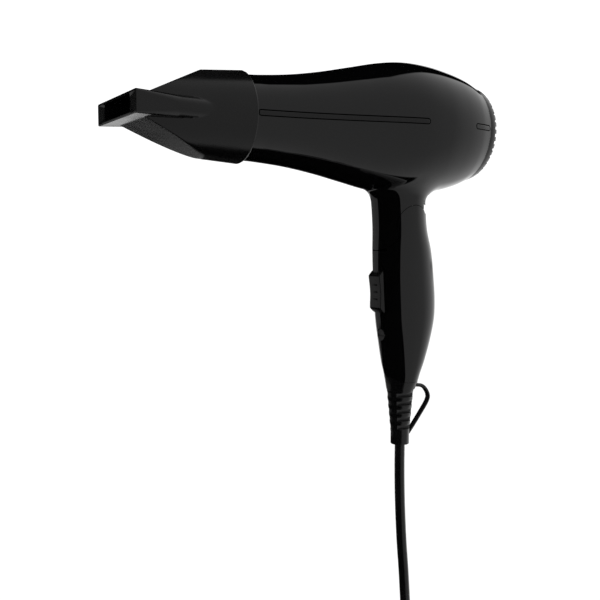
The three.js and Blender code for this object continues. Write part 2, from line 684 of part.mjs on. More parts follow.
// the lower edge of the handle, where the strain relief begins
function endCurve(shift) {
  const shape = new THREE.Shape();
  const curve = [[-16, -43], [-10.4, -46.7], [-7.7, -48.7], [-3.7, -50.3], [1, -50.5], [16, -50.4]];
  shape.moveTo(curve[0][0], curve[0][1] + shift);
  shape.splineThru(curve.slice(1).map(([x, z]) => new THREE.Vector2(x, z + shift)));
  shape.lineTo(16, -70);
  shape.lineTo(-16, -70);
  shape.closePath();
  return sidePlate(shape, -20, 20);
}

function buildHandle() {
  const solidGrip = gripLoft(-54, 60, 12);
  let handle = solidGrip.subtract(gripLoft(-46.5, 34, 6, HANDLE_WALL)).subtract(endCurve(0));
  const silhouette = sidePlate(belowSeam(0), -FAR, FAR).add(hingeDisc(HINGE.ear, -FAR, FAR));
  handle = handle.intersect(silhouette);
  const inside = knuckle + GAP;
  handle = handle.subtract(hingeDisc(HINGE.ear + 0.2, -inside, inside));
  const lipSpace = polygon([
    [-FAR, 28], [-FAR, 60], [HINGE.x, 60], [HINGE.x, 40], [-6, 34.2], [-13, 30.6], [-19, 30.6],
  ]);
  const lipKept = box([-FAR, -inside, 0], [-10, inside, 30.55]);
  handle = handle.subtract(sidePlate(lipSpace, -inside, inside).subtract(lipKept));
  handle = handle.subtract(box([-9, -5, 24], [7, 5, 38]));
  // blind seats for the hinge pin in both ears
  const seatEnd = HINGE.pinHalfLength + GAP;
  handle = handle.subtract(hingeDisc(HINGE.pin + GAP, -seatEnd, seatEnd, 20));
  // opening for the strain relief
  handle = handle.subtract(bar('z', RELIEF.neckRadius + GAP, -60, -44, [RELIEF.x, 0], 28));
  // slot for the switch and seat for the voltage dial
  handle = handle.subtract(box([-30, -SLOT.halfWidth, SLOT.low], [-12, SLOT.halfWidth, SLOT.high]));
  handle = handle.subtract(bar('x', DIAL.radius + GAP, -30, -8, [0, DIAL.z], 24));
  const ribs = [];
  for (const across of HANDLE_SCREWS) {
    ribs.push(bar('y', 3.4, -12.6, 12.6, across, 18));
  }
  handle = handle.add(joined(ribs).intersect(solidGrip));
  for (const across of HANDLE_SCREWS) {
    handle = handle.subtract(bar('y', 1.5, -10.5, 30, across, 16))
      .subtract(bar('y', 2.9, 7.5, 30, across, 20));
  }
  return handle;
}
const handleShell = buildHandle();
place('handle_left', handleShell.subtract(leftCutter), GLOSS_BLACK);
place('handle_right', handleShell.subtract(rightCutter), GLOSS_BLACK);
HANDLE_SCREWS.forEach((across, i) => place(`handle_screw_${i + 1}`, screw(across, -10, 7.8), STEEL));
place('hinge_pin', hingeDisc(HINGE.pin, -HINGE.pinHalfLength, HINGE.pinHalfLength, 20), STEEL);

// ---------------------------------------------------------------- slide switch

function tilted(solid, z) {
  const turn = new THREE.Matrix4().makeTranslation(0, 0, z)
    .multiply(new THREE.Matrix4().makeRotationY(-BUTTON.tilt));
  const geometry = geometryOf(solid).applyMatrix4(turn);
  return solidOf(geometry);
}

function switchButton() {
  const { halfLength, faceHalfLength, halfWidth, face, base } = BUTTON;
  const outline = polygon([
    [base, -halfLength], [base, halfLength], [face + 1.4, halfLength], [face, faceHalfLength],
    [face, -faceHalfLength], [face + 1.4, -halfLength],
  ]);
  let cap = sidePlate(outline, -halfWidth, halfWidth);
  // the underside follows the round front of the handle
  cap = cap.subtract(bar('z', BUTTON.hollowRadius, -20, 20, [BUTTON.hollowX, 0], 48));
  for (let k = -1; k <= 1; k += 1) {
    const z = k * BUTTON.markPitch;
    const [reach, bottom] = [BUTTON.markHalfLength, face + BUTTON.markDepth];
    cap = cap.subtract(box([face - 1, -reach, z - 0.6], [bottom, reach, z + 0.6]));
  }
  const stem = box([face + 1, -SLOT.halfWidth + 0.4, -4], [-14.2, SLOT.halfWidth - 0.4, 4]);
  return tilted(cap.add(stem), BUTTON.middle);
}
place('switch_button', switchButton(), SATIN_BLACK);
const switchBody = box(SWITCH_BODY.low, SWITCH_BODY.high).subtract(box(SWITCH_WELL.low, SWITCH_WELL.high));
place('switch_module', switchBody, WHITE_PLASTIC);

// ---------------------------------------------------------------- voltage dial and its switch
const coinSlotHalf = 0.6;
const coinSlot = box(
  [DIAL.front - 1, -DIAL.radius - 1, DIAL.z - coinSlotHalf],
  [DIAL.front + 1, DIAL.radius + 1, DIAL.z + coinSlotHalf],
);
const dial = bar('x', DIAL.radius, DIAL.front, DIAL.back, [0, DIAL.z], 24).subtract(coinSlot);
place('voltage_dial', dial, SATIN_BLACK);
place('voltage_switch', box(VOLTAGE_SWITCH.low, VOLTAGE_SWITCH.high), WHITE_PLASTIC);

// ---------------------------------------------------------------- rectifier, leads and cord clamp
place('rectifier_board', box(BOARD.low, BOARD.high), BOARD_GREEN);
for (let i = 0; i < DIODE.count; i += 1) {
  const across = [DIODE.x, DIODE.firstZ + i * DIODE.pitch];
  const diode = bar('y', DIODE.radius, -DIODE.halfLength, DIODE.halfLength, across, 12);
  place(`diode_${i + 1}`, diode, SOFT_BLACK);
}
for (const [colour, look, y] of [['brown', LEAD_BROWN, -LEAD.side], ['blue', LEAD_BLUE, LEAD.side]]) {
  const rise = [[-0.7, y, -36], [1.6, y, -25], [2.4, y, -8], [2, y, 8], [-1, y, 18], [-1, y, 27]];
  place(`lead_${colour}`, cordAlong(rise, LEAD.radius, LEAD.radius, 6, 14), look);
}
const sheathEnd = bar('z', CORD_RADIUS, SHEATH_END.low, SHEATH_END.high, [RELIEF.x, 0], 16);
place('cord_sheath_end', sheathEnd, SOFT_BLACK);
const clampBore = bar('z', CORD_RADIUS + GAP, CLAMP.low[2] - 2, CLAMP.high[2] + 2, [RELIEF.x, 0], 16);
place('cord_clamp', box(CLAMP.low, CLAMP.high).subtract(clampBore), WHITE_PLASTIC);

// ---------------------------------------------------------------- strain relief with hanging loop
function strainRelief() {
  const { x, collarBottom, topRadius, endRadius, taperEnd, bottom, neckRadius } = RELIEF;
  const collar = gripLoft(collarBottom, -46, 4).intersect(endCurve(-GAP));
  const taper = turnedUpright([
    [bottom, 0], [bottom, endRadius - 0.4], [bottom + 0.5, endRadius], [taperEnd, endRadius],
    [collarBottom + 0.5, topRadius], [collarBottom + 0.5, 0],
  ], x, 0);
  const neck = turnedUpright([[-56, 0], [-56, neckRadius], [-46.3, neckRadius], [-46.3, 0]], x, 0);
  let relief = collar.add(taper).add(neck);
  for (let i = 0; i < RELIEF.slots; i += 1) {
    const z = RELIEF.firstSlot - i * RELIEF.slotPitch;
    const radius = topRadius + ((endRadius - topRadius) * (collarBottom - z)) / (collarBottom - taperEnd);
    for (const side of [-1, 1]) {
      const [near, far] = [side * radius * 0.6, side * 20].sort((a, b) => a - b);
      const half = RELIEF.slotHeight / 2;
      relief = relief.subtract(box([x - 20, near, z - half], [x + 20, far, z + half]));
    }
  }
  return relief.add(cordAlong(LOOP_ROUTE, LOOP.halfWidth, LOOP.halfThickness, 6, 14));
}
place('strain_relief', strainRelief(), SOFT_BLACK);

// ---------------------------------------------------------------- cord, hank, tie and plug

place('mains_cord', cordAlong(CORD_ROUTE, CORD_RADIUS, CORD_RADIUS, 10, 12), SOFT_BLACK);

function hankSolid() {
  const { x, halfWidth, waist, run, halfThickness } = HANK;
  const [topZ, lowZ] = [hankMiddleZ + run / 2, hankMiddleZ - run / 2];
  const shape = new THREE.Shape();
  const pull = run / 4;
  shape.moveTo(x + halfWidth, topZ);
  shape.absarc(x, topZ, halfWidth, 0, Math.PI, false);
  shape.bezierCurveTo(x - halfWidth, topZ - pull, x - waist, hankMiddleZ + pull, x - waist, hankMiddleZ);
  shape.bezierCurveTo(x - waist, hankMiddleZ - pull, x - halfWidth, lowZ + pull, x - halfWidth, lowZ);
  shape.absarc(x, lowZ, halfWidth, Math.PI, 2 * Math.PI, false);
  shape.bezierCurveTo(x + halfWidth, lowZ + pull, x + waist, hankMiddleZ - pull, x + waist, hankMiddleZ);
  shape.bezierCurveTo(x + waist, hankMiddleZ + pull, x + halfWidth, topZ - pull, x + halfWidth, topZ);
  return sidePlate(shape, -halfThickness, halfThickness);
}
place('cord_hank', hankSolid(), SOFT_BLACK);

function hankTie() {
  const inner = [HANK.waist + 1.2, HANK.halfThickness + 0.4];
  const block = ([halfWidth, halfDepth], halfHeight) => box(
    [HANK.x - halfWidth, -halfDepth, hankMiddleZ - halfHeight],
    [HANK.x + halfWidth, halfDepth, hankMiddleZ + halfHeight],
  );
  return block(inner.map((value) => value + TIE.thickness), TIE.halfHeight)
    .subtract(block(inner, TIE.halfHeight + 1));
}
place('hank_tie', hankTie(), STRAP);

place('cord_tail', cordAlong(TAIL_ROUTE, CORD_RADIUS, CORD_RADIUS, 10, 8), SOFT_BLACK);

function plugRing(z, halfWidth, halfThickness) {
  const ring = [];
  for (let i = 0; i < 16; i += 1) {
    const angle = (2 * Math.PI * i) / 16;
    const [c, s] = [Math.cos(angle), Math.sin(angle)];
    const x = PLUG.x + halfWidth * Math.sign(c) * Math.abs(c) ** 0.72;
    ring.push([x, PLUG.y + halfThickness * Math.sign(s) * Math.abs(s) ** 0.72, z]);
  }
  return ring;
}

function plugBody() {
  const { x, top, length } = PLUG;
  const sleeve = loft([
    [-301, 3.8, 3.8], [-312, 4.6, 4.6], [top + 1, 6, 5.6],
  ].map(([z, halfWidth, halfThickness]) => plugRing(z, halfWidth, halfThickness)));
  const body = loft([
    plugRing(top + 1.5, 7, 5.6), plugRing(top - 2, 10.5, 6.8), plugRing(top - 10, 15.6, 8.2),
    plugRing(top - 24, 17.4, 8.6), plugRing(top - length + 1, 17.2, 8.4), plugRing(top - length, 16.4, 7.8),
  ]);
  let plug = sleeve.add(body);
  for (const side of [-1, 1]) {
    const across = [x + (side * PLUG.pinSpacing) / 2, PLUG.y];
    const seatTop = top - length + PLUG.pinSeat + GAP;
    plug = plug.subtract(bar('z', PLUG.pinRadius + GAP, top - length - 1, seatTop, across, 16));
  }
  return plug;
}
place('mains_plug', plugBody(), SOFT_BLACK);
for (const [name, side] of [['left', -1], ['right', 1]]) {
  const across = [PLUG.x + (side * PLUG.pinSpacing) / 2, PLUG.y];
  const high = PLUG.top - PLUG.length + PLUG.pinSeat;
  const low = PLUG.top - PLUG.length - PLUG.pinLength;
  const profile = [[low, 0], [low, 1.2], [low + 1, PLUG.pinRadius], [high, PLUG.pinRadius], [high, 0]];
  const pin = turnedUpright(profile, ...across, 16);
  place(`plug_pin_${name}`, pin, BRASS);
}

export default group;
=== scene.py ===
"""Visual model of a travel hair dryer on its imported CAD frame."""
import math

import bmesh
import bpy
import numpy as np
from mathutils import Matrix, Vector


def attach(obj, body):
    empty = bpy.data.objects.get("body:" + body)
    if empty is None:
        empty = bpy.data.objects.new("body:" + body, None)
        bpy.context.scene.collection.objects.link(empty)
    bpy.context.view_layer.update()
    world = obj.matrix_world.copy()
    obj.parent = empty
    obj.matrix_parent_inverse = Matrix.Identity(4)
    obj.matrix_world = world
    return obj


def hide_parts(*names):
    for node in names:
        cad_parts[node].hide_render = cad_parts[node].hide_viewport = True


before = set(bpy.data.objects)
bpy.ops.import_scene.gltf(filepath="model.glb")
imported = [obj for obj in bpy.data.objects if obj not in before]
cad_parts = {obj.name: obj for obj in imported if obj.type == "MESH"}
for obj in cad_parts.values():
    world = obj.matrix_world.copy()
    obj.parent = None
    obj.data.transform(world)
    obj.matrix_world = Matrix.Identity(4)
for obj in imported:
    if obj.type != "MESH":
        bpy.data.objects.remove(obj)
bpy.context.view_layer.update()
MM = 0.001

# ---------------------------------------------------------------- camera
# lens in mm, place in m and direction, from a fit to the photograph; the roll was added afterwards
CAMERA_LENS = 51.76
CAMERA_PLACE = Vector((-0.322676, -0.432040, 0.038147))
CAMERA_RIGHT = Vector((0.86541, -0.50098, -0.00870))
CAMERA_UP = Vector((0.04305, 0.05705, 0.99744))
CAMERA_FORWARD = Vector((0.49920, 0.86358, -0.07094))
CAMERA_ROLL = math.radians(0.35)
camera_data = bpy.data.cameras.new("camera")
camera_data.sensor_width = 36.0
camera_data.lens = CAMERA_LENS
camera_data.clip_start = 0.01
camera = bpy.data.objects.new("camera", camera_data)
bpy.context.scene.collection.objects.link(camera)
camera_turn = Matrix((CAMERA_RIGHT, CAMERA_UP, -CAMERA_FORWARD)).transposed()
camera_turn = camera_turn @ Matrix.Rotation(CAMERA_ROLL, 3, "Z")
camera.matrix_world = Matrix.Translation(CAMERA_PLACE) @ camera_turn.to_4x4()
bpy.context.scene.camera = camera


# ---------------------------------------------------------------- cord
CORD_RADIUS = 3.2
CORD_STEP = 2.4
CORD_SMOOTHINGS = 3
HANK_X = 5.0
FOLD_TOP_Z = -234.6
FOLD_BOTTOM_Z = -338.6
# a lane is one of the two windings that lie side by side, PITCH apart
INNER, OUTER = 0.0, 1.0
PITCH = 6.5
FOLD_RADIUS, WAIST_OFFSET = 19.5, 3.6
RUN_STEPS, FOLD_STEPS = 34, 26
CORD_EXIT = (-0.7, 0, -90.7)
CORD_DOWN = [
    CORD_EXIT, (-0.8, 0, -106), (-0.3, 0, -128), (1.1, 0, -153), (3, 0, -175), (4.9, 0, -204.7),
]
CORD_INTO_HANK = [(6, 0, -228), (7.6, 0, -256), (8.6, 0, -286.6)]
CORD_TAIL = [
    (24.6, -13.9, -238), (21, -15.2, -254), (13, -17.2, -272), (7, -19.2, -288), (5, -20, -301),
]


def fold_radius(lane):
    return FOLD_RADIUS + PITCH * lane


def waist_offset(lane):
    return WAIST_OFFSET + PITCH * lane


def smooth(t):
    t = min(max(t, 0.0), 1.0)
    return t * t * (3 - 2 * t)


def run_point(side, t, lane, y):
    """A point on a straight run: t goes from 0 at the bottom fold to 1 at the top fold."""
    spread = (1 + math.cos(2 * math.pi * (t - 0.5) + math.pi)) / 2
    offset = waist_offset(lane) + (fold_radius(lane) - waist_offset(lane)) * spread
    z = FOLD_BOTTOM_Z + (FOLD_TOP_Z - FOLD_BOTTOM_Z) * t
    return (HANK_X + side * offset, y, z)


def fold_points(top, lane, from_y, to_y):
    """Half a turn round one end of the hank, entered on the side that the path comes from."""
    centre = FOLD_TOP_Z if top else FOLD_BOTTOM_Z
    points = []
    for i in range(1, FOLD_STEPS):
        t = i / FOLD_STEPS
        angle = math.pi * t
        side = -math.cos(angle) if top else math.cos(angle)
        rise = math.sin(angle) if top else -math.sin(angle)
        y = from_y + (to_y - from_y) * smooth(t)
        radius = fold_radius(lane)
        points.append((HANK_X + side * radius, y, centre + rise * radius))
    return points


def cord_path():
    """The cord's centre line: down into the hank, round it, and on to the plug."""
    steps = RUN_STEPS
    path = spline_points([Vector(p) for p in CORD_DOWN + CORD_INTO_HANK], 8)
    path = [tuple(p) for p in path]
    for i in range(steps // 2 - 1, -1, -1):
        path.append(run_point(1, i / steps, INNER, 0))
    path += fold_points(False, INNER, 0, 0)
    # each turn: its left run up, the fold, and the right run down with the next bottom fold
    turns = [
        (lambda t: INNER, lambda t: PITCH * smooth(3 * t - 2), INNER, PITCH),
        (lambda t: smooth(3 * t - 1), lambda t: PITCH, OUTER, PITCH),
        (lambda t: OUTER, lambda t: PITCH * (1 - smooth(3 * t) - smooth(3 * t - 2)), OUTER, -PITCH),
    ]
    for lane_at, y_at, lane, y in turns:
        for i in range(steps + 1):
            path.append(run_point(-1, i / steps, lane_at(i / steps), y_at(i / steps)))
        path += fold_points(True, lane, y, y)
        for i in range(steps, -1, -1):
            path.append(run_point(1, i / steps, lane, y))
        path += fold_points(False, lane, y, y)
    for i in range(steps + 1):
        t = i / steps
        path.append(run_point(-1, t, 1 - smooth(3 * t - 1), -PITCH))
    path += fold_points(True, INNER, -PITCH, -2.1 * PITCH)
    path += [tuple(p) for p in spline_points([Vector(p) for p in path[-2:] + CORD_TAIL], 6)][7:]
    return path


def spline_points(points, steps):
    """Catmull-Rom points through the given ones."""
    ends = [points[0] * 2 - points[1]] + list(points) + [points[-1] * 2 - points[-2]]
    out = []
    for i in range(1, len(ends) - 2):
        a, b, c, d = ends[i - 1:i + 3]
        for k in range(steps):
            t = k / steps
            out.append(0.5 * (2 * b + (c - a) * t + (2 * a - 5 * b + 4 * c - d) * t * t
                              + (3 * b - a - 3 * c + d) * t ** 3))
    out.append(points[-1].copy())
    return out


def even_path(points, step):
    """The same line with points an even step apart."""
    line = np.array(points, float)
    along = np.concatenate([[0], np.cumsum(np.linalg.norm(np.diff(line, axis=0), axis=1))])
    count = int(round(along[-1] / step))
    at = np.linspace(0, along[-1], count + 1)
    return np.column_stack([np.interp(at, along, line[:, k]) for k in range(3)]), along[-1]


cord_line, cord_length = even_path(cord_path(), CORD_STEP)
for _ in range(CORD_SMOOTHINGS):
    cord_line[1:-1] = (cord_line[:-2] + 2 * cord_line[1:-1] + cord_line[2:]) / 4


def curve_object(name, line, radius):
    """A round tube along a list of points in mm."""
    data = bpy.data.curves.new(name, "CURVE")
    data.dimensions = "3D"
    spline = data.splines.new("POLY")
    spline.points.add(len(line) - 1)
    for point, place in zip(spline.points, line):
        point.co = (place[0] * MM, place[1] * MM, place[2] * MM, 1)
        point.radius = radius * MM
    spline.use_smooth = True
    data.bevel_depth = 1.0
    data.bevel_resolution = 6
    data.use_fill_caps = True
    ob = bpy.data.objects.new(name, data)
    bpy.context.scene.collection.objects.link(ob)
    return ob


cord = curve_object("cord", cord_line, CORD_RADIUS)


# ---------------------------------------------------------------- mesh helpers
def mesh_object(name, points, faces, sharp=35, outward=False):
    """A smooth object from points in mm; outward turns the faces of a closed mesh to the outside."""
    data = bpy.data.meshes.new(name)
    corners = [tuple(int(i) for i in face) for face in faces]
    data.from_pydata([tuple(float(c) * MM for c in point) for point in points], [], corners)
    data.validate()
    if outward:
        mesh = bmesh.new()
        mesh.from_mesh(data)
        bmesh.ops.recalc_face_normals(mesh, faces=mesh.faces)
        mesh.to_mesh(data)
        mesh.free()
    data.polygons.foreach_set("use_smooth", [True] * len(data.polygons))
    if sharp:
        data.set_sharp_from_angle(angle=math.radians(sharp))
    ob = bpy.data.objects.new(name, data)
    bpy.context.scene.collection.objects.link(ob)
    return ob


SQUARE = ((-1, -1), (1, -1), (1, 1), (-1, 1))


class Solid:
    """Collects closed lofts, in mm, that become one mesh."""

    def __init__(self):
        self.points = []
        self.faces = []

    def loft(self, rings, ring_shaped=False):
        """A skin through rings of equally many points, capped at both ends or joined end to end."""
        rings = np.array(rings, float)
        count, per = rings.shape[:2]
        first = len(self.points)
        self.points += list(rings.reshape(-1, 3))
        for r in range(count if ring_shaped else count - 1):
            here, there = first + r * per, first + (r + 1) % count * per
            for i in range(per):
                j = (i + 1) % per
                self.faces.append((here + i, here + j, there + j, there + i))
        if not ring_shaped:
            self.faces.append(tuple(range(first + per - 1, first - 1, -1)))
            self.faces.append(tuple(range(first + (count - 1) * per, first + count * per)))
        return self

    def box(self, low, high):
        (x0, y0, z0), (x1, y1, z1) = low, high
        ring = [(x0, y0), (x1, y0), (x1, y1), (x0, y1)]
        return self.loft([[(x, y, z) for x, y in ring] for z in (z0, z1)])

    def build(self, name, sharp=35):
        return mesh_object(name, self.points, self.faces, sharp, outward=True)


def turn_x(profile):
    """Rings of a profile of (x, radius) turned about the barrel axis."""
    angles = np.linspace(0, 2 * np.pi, 96, endpoint=False)
    return [[(x, r * math.cos(a), BARREL_AXIS_Z + r * math.sin(a)) for a in angles]
            for x, r in profile]


def turn_z(profile, x, y, segments=48):
    """Rings of a profile of (z, radius) turned about an upright axis."""
    angles = np.linspace(0, 2 * np.pi, segments, endpoint=False)
    return [[(x + r * math.cos(a), y + r * math.sin(a), z) for a in angles] for z, r in profile]


def station(rows, column, place):
    """The smooth curve through the stations that the frame's own lofts follow."""
    table = np.array(sorted(rows), float)
    place = np.clip(place, table[0, 0], table[-1, 0])
    last = len(table) - 1
    i = np.clip(np.searchsorted(table[:, 0], place, side="left") - 1, 0, last - 1)
    low = np.maximum(np.arange(last + 1) - 1, 0)
    high = np.minimum(np.arange(last + 1) + 1, last)
    slope = (table[high, column] - table[low, column]) / (table[high, 0] - table[low, 0])
    span = table[i + 1, 0] - table[i, 0]
    t = (place - table[i, 0]) / span
    p, q = table[i, column], table[i + 1, column]
    h = t * t * (3 - 2 * t)
    return p * (1 - h) + q * h + span * (t * (1 - t) ** 2 * slope[i] - t * t * (1 - t) * slope[i + 1])


# ---------------------------------------------------------------- the surface of the shells
BARREL_FRONT_X = -112.0
BARREL_AXIS_Z = 104.6
# distance behind the barrel's front, and radius
BARREL_OUTLINE = [
    (0, 23.2), (10, 23.7), (30, 25.7), (50, 29), (70, 33.3), (90, 37.6),
    (105, 39.4), (120, 39), (135, 36.9), (147, 34.1), (156, 30.8),
]
GRIP_ROUNDNESS = 2.15
# height, front x, rear x and half depth of the grip
GRIP_SECTIONS = [
    (76, -29, 22.5, 22),
    (71, -25.2, 19, 19),
    (67.5, -22.8, 17.2, 16.8),
    (64, -21, 15.6, 15.2),
    (60, -20, 14.6, 14.8),
    (45, -19, 15.4, 14.7),
    (30, -19.3, 19.4, 14.5),
    (15, -19, 21.7, 14.2),
    (0, -18.1, 23, 14),
    (-12, -17.2, 22.5, 13.8),
    (-25, -15, 19.3, 13.3),
    (-38, -12.5, 14.8, 12.4),
    (-46, -10.4, 11.4, 11.3),
    (-51, -9.5, 9.9, 10.2),
    (-55.5, -9.1, 8.3, 8.8),
]
NECK_TOP_Z = 90
# the fillet under the barrel grows from the front to the rear over this stretch
NECK_FILLET_FRONT, NECK_FILLET_REAR = 2.2, 6.0
NECK_BLEND_X, NECK_BLEND_LENGTH = -18.0, 20.0


def barrel_field(p):
    distance = p[:, 0] - BARREL_FRONT_X
    return np.hypot(p[:, 1], p[:, 2] - BARREL_AXIS_Z) - station(BARREL_OUTLINE, 1, distance)


def grip_field(p):
    front, rear, depth = (station(GRIP_SECTIONS, k, p[:, 2]) for k in (1, 2, 3))
    half = (rear - front) / 2
    u = (p[:, 0] - (front + rear) / 2) / half
    v = p[:, 1] / depth
    n = GRIP_ROUNDNESS
    s = np.maximum(np.abs(u) ** n + np.abs(v) ** n, 1e-9) ** (1 / n)
    steep = s ** (1 - n) * np.hypot(np.abs(u) ** (n - 1) / half, np.abs(v) ** (n - 1) / depth)
    return (s - 1) / np.maximum(steep, 1e-6)


def shell_field(p):
    """Zero on the outside of the barrel, neck and grip, with a fillet between neck and barrel."""
    a, b = barrel_field(p), np.maximum(grip_field(p), p[:, 2] - NECK_TOP_Z)
    share = np.clip((p[:, 0] - NECK_BLEND_X) / NECK_BLEND_LENGTH, 0, 1)
    growth = NECK_FILLET_REAR - NECK_FILLET_FRONT
    fillet = NECK_FILLET_FRONT + growth * share * share * (3 - 2 * share)
    h = np.clip(0.5 + 0.5 * (b - a) / fillet, 0, 1)
    return b * (1 - h) + a * h - fillet * h * (1 - h)


def gradient(field, p):
    step = 0.02
    out = np.empty_like(p)
    for k in range(3):
        shift = np.zeros(3)
        shift[k] = step
        out[:, k] = (field(p + shift) - field(p - shift)) / (2 * step)
    return out


def triangles_of(ob):
    """Points in mm and triangles of an object, with doubled points joined."""
    mesh = bmesh.new()
    mesh.from_mesh(ob.data)
    bmesh.ops.remove_doubles(mesh, verts=mesh.verts, dist=1e-6)
    bmesh.ops.triangulate(mesh, faces=mesh.faces)
    points = np.array([v.co[:] for v in mesh.verts]) / MM
    corners = np.array([[v.index for v in f.verts] for f in mesh.faces])
    mesh.free()
    return points, corners


def face_normals(points, corners):
    a, b, c = (points[corners[:, k]] for k in range(3))
    n = np.cross(b - a, c - a)
    return n / np.maximum(np.linalg.norm(n, axis=1, keepdims=True), 1e-12)


def split_edges(points, corners, is_long):
    """Halves the chosen edges of a triangle mesh, in every triangle that has them."""
    sides = [corners[:, pair] for pair in ([0, 1], [1, 2], [2, 0])]
    pairs = np.sort(np.concatenate(sides), axis=1)
    edges, back = np.unique(pairs, axis=0, return_inverse=True)
    back = back.reshape(3, -1)
    chosen = is_long(edges, back)
    middle = np.full(len(edges), -1)
    middle[chosen] = len(points) + np.arange(chosen.sum())
    points = np.vstack([points, (points[edges[chosen, 0]] + points[edges[chosen, 1]]) / 2])
    mids = middle[back].T
    count = (mids >= 0).sum(axis=1)
    out = [corners[count == 0]]
    for number in (1, 2, 3):
        c, m = corners[count == number].copy(), mids[count == number].copy()
        if number == 1:
            roll = (m >= 0).argmax(axis=1)
        elif number == 2:
            roll = ((m < 0).argmax(axis=1) + 1) % 3
        else:
            roll = np.zeros(len(c), int)
        order = (roll[:, None] + np.arange(3)) % 3
        c, m = np.take_along_axis(c, order, 1), np.take_along_axis(m, order, 1)
        if number == 1:
            parts = [(c[:, 0], m[:, 0], c[:, 2]), (m[:, 0], c[:, 1], c[:, 2])]
        elif number == 2:
            parts = [(m[:, 0], c[:, 1], m[:, 1]), (c[:, 0], m[:, 0], m[:, 1]),
                     (c[:, 0], m[:, 1], c[:, 2])]
        else:
            parts = [(c[:, 0], m[:, 0], m[:, 2]), (m[:, 0], c[:, 1], m[:, 1]),
                     (m[:, 2], m[:, 1], c[:, 2]), (m[:, 0], m[:, 1], m[:, 2])]
        out += [np.column_stack(part) for part in parts]
    return points, np.concatenate(out), bool(chosen.any())


def set_normals(ob, points, field, skin):
    """Gives the skin faces of a mesh the normals of the surface that field is zero on."""
    data = ob.data
    normals = np.empty(len(data.loops) * 3, np.float32)
    data.corner_normals.foreach_get("vector", normals)
    normals = normals.reshape(-1, 3)
    loop_vertex = np.empty(len(data.loops), int)
    data.loops.foreach_get("vertex_index", loop_vertex)
    sizes = np.empty(len(data.polygons), int)
    data.polygons.foreach_get("loop_total", sizes)
    loop_skin = np.repeat(skin, sizes)
    used = np.unique(loop_vertex[loop_skin])
    g = gradient(field, points[used])
    true_normal = np.zeros((len(points), 3))
    true_normal[used] = g / np.linalg.norm(g, axis=1, keepdims=True)
    normals[loop_skin] = true_normal[loop_vertex[loop_skin]]
    data.normals_split_custom_set(normals)


# which faces of a frame node are skin: their points lie this near the surface, and they face outwards
SKIN_BELOW, SKIN_BELOW_BY_NECK, SKIN_ABOVE = -0.95, -1.8, 1.2
NECK_FROM_Z, NECK_TO_Z = 60, 86
SKIN_FACING = 0.5
SKIN_EDGE = 1.7
SKIN_PROJECTIONS, SKIN_MOVE = 4, 0.5
# the gap between the left and right halves is closed to a fifth
SEAM_REACH, SEAM_SHARE = 0.16, 0.2


def smooth_shell(node, piece, field):
    """A fine copy of a frame node with its outside skin on the surface where field is zero.

    The skin gets that surface's normals, and the other faces are marked as inside.
    """
    points, corners = triangles_of(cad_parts[node])
    seam = np.abs(points[:, 1]) < SEAM_REACH
    points[seam, 1] *= SEAM_SHARE

    def skin_faces():
        centre = points[corners].mean(axis=1)
        value = field(points)[corners]
        slope = gradient(field, centre)
        slope /= np.linalg.norm(slope, axis=1, keepdims=True)
        facing = (face_normals(points, corners) * slope).sum(axis=1) > SKIN_FACING
        by_neck = (centre[:, 2] > NECK_FROM_Z) & (centre[:, 2] < NECK_TO_Z)
        low = np.where(by_neck, SKIN_BELOW_BY_NECK, SKIN_BELOW)[:, None]
        return facing & (value > low).all(axis=1) & (value < SKIN_ABOVE).all(axis=1)

    more = True
    while more:
        skin = skin_faces()

        def is_long(edges, back):
            length = np.linalg.norm(points[edges[:, 0]] - points[edges[:, 1]], axis=1)
            on_skin = np.zeros(len(edges), bool)
            on_skin[back[:, skin]] = True
            return on_skin & (length > SKIN_EDGE)

        points, corners, more = split_edges(points, corners, is_long)
    skin = skin_faces()
    moved = np.unique(corners[skin])
    for _ in range(SKIN_PROJECTIONS):
        p = points[moved]
        g = gradient(field, p)
        step = (field(p) / (g * g).sum(axis=1))[:, None] * g
        points[moved] = p - np.clip(step, -SKIN_MOVE, SKIN_MOVE)
    ob = mesh_object(piece, points, corners, sharp=30)
    set_normals(ob, points, field, skin)
    ob.data.attributes.new("inside", "BOOLEAN", "FACE").data.foreach_set("value", ~skin)
    return ob


# ---------------------------------------------------------------- nozzle
TIP_X, ROOT_X, REAR_X = -180.9, -136.0, -112.0
# the round body: radius at its front and growth per mm behind it
BODY_FRONT_X, BODY_FRONT_R, BODY_TAPER = -174.0, 20.5, 0.0782
# the slanted cuts above and below the duct: half height where they start, and slope
CUT_X, CUT_HALF, CUT_SLOPE = -171.7, 6.3, 0.468
NOZZLE_WALL, NOZZLE_BORE, SPIGOT_X = 1.6, 21.5, -131.3
CUT_FILLET, DUCT_FILLET = 0.5, 0.35


def duct_size(x):
    """Half width, half height and corner radius of the flat duct."""
    t = np.clip((x - TIP_X) / (ROOT_X - TIP_X), 0, 1)
    corner = 1.1 + 4.0 * np.clip(1.8 * t, 0, 1)
    return 30.7 - 7.3 * t, 5.9 - 0.3 * t, corner


def smooth_max(a, b, width):
    h = np.clip(0.5 + 0.5 * (a - b) / width, 0, 1)
    return b * (1 - h) + a * h + width * h * (1 - h)


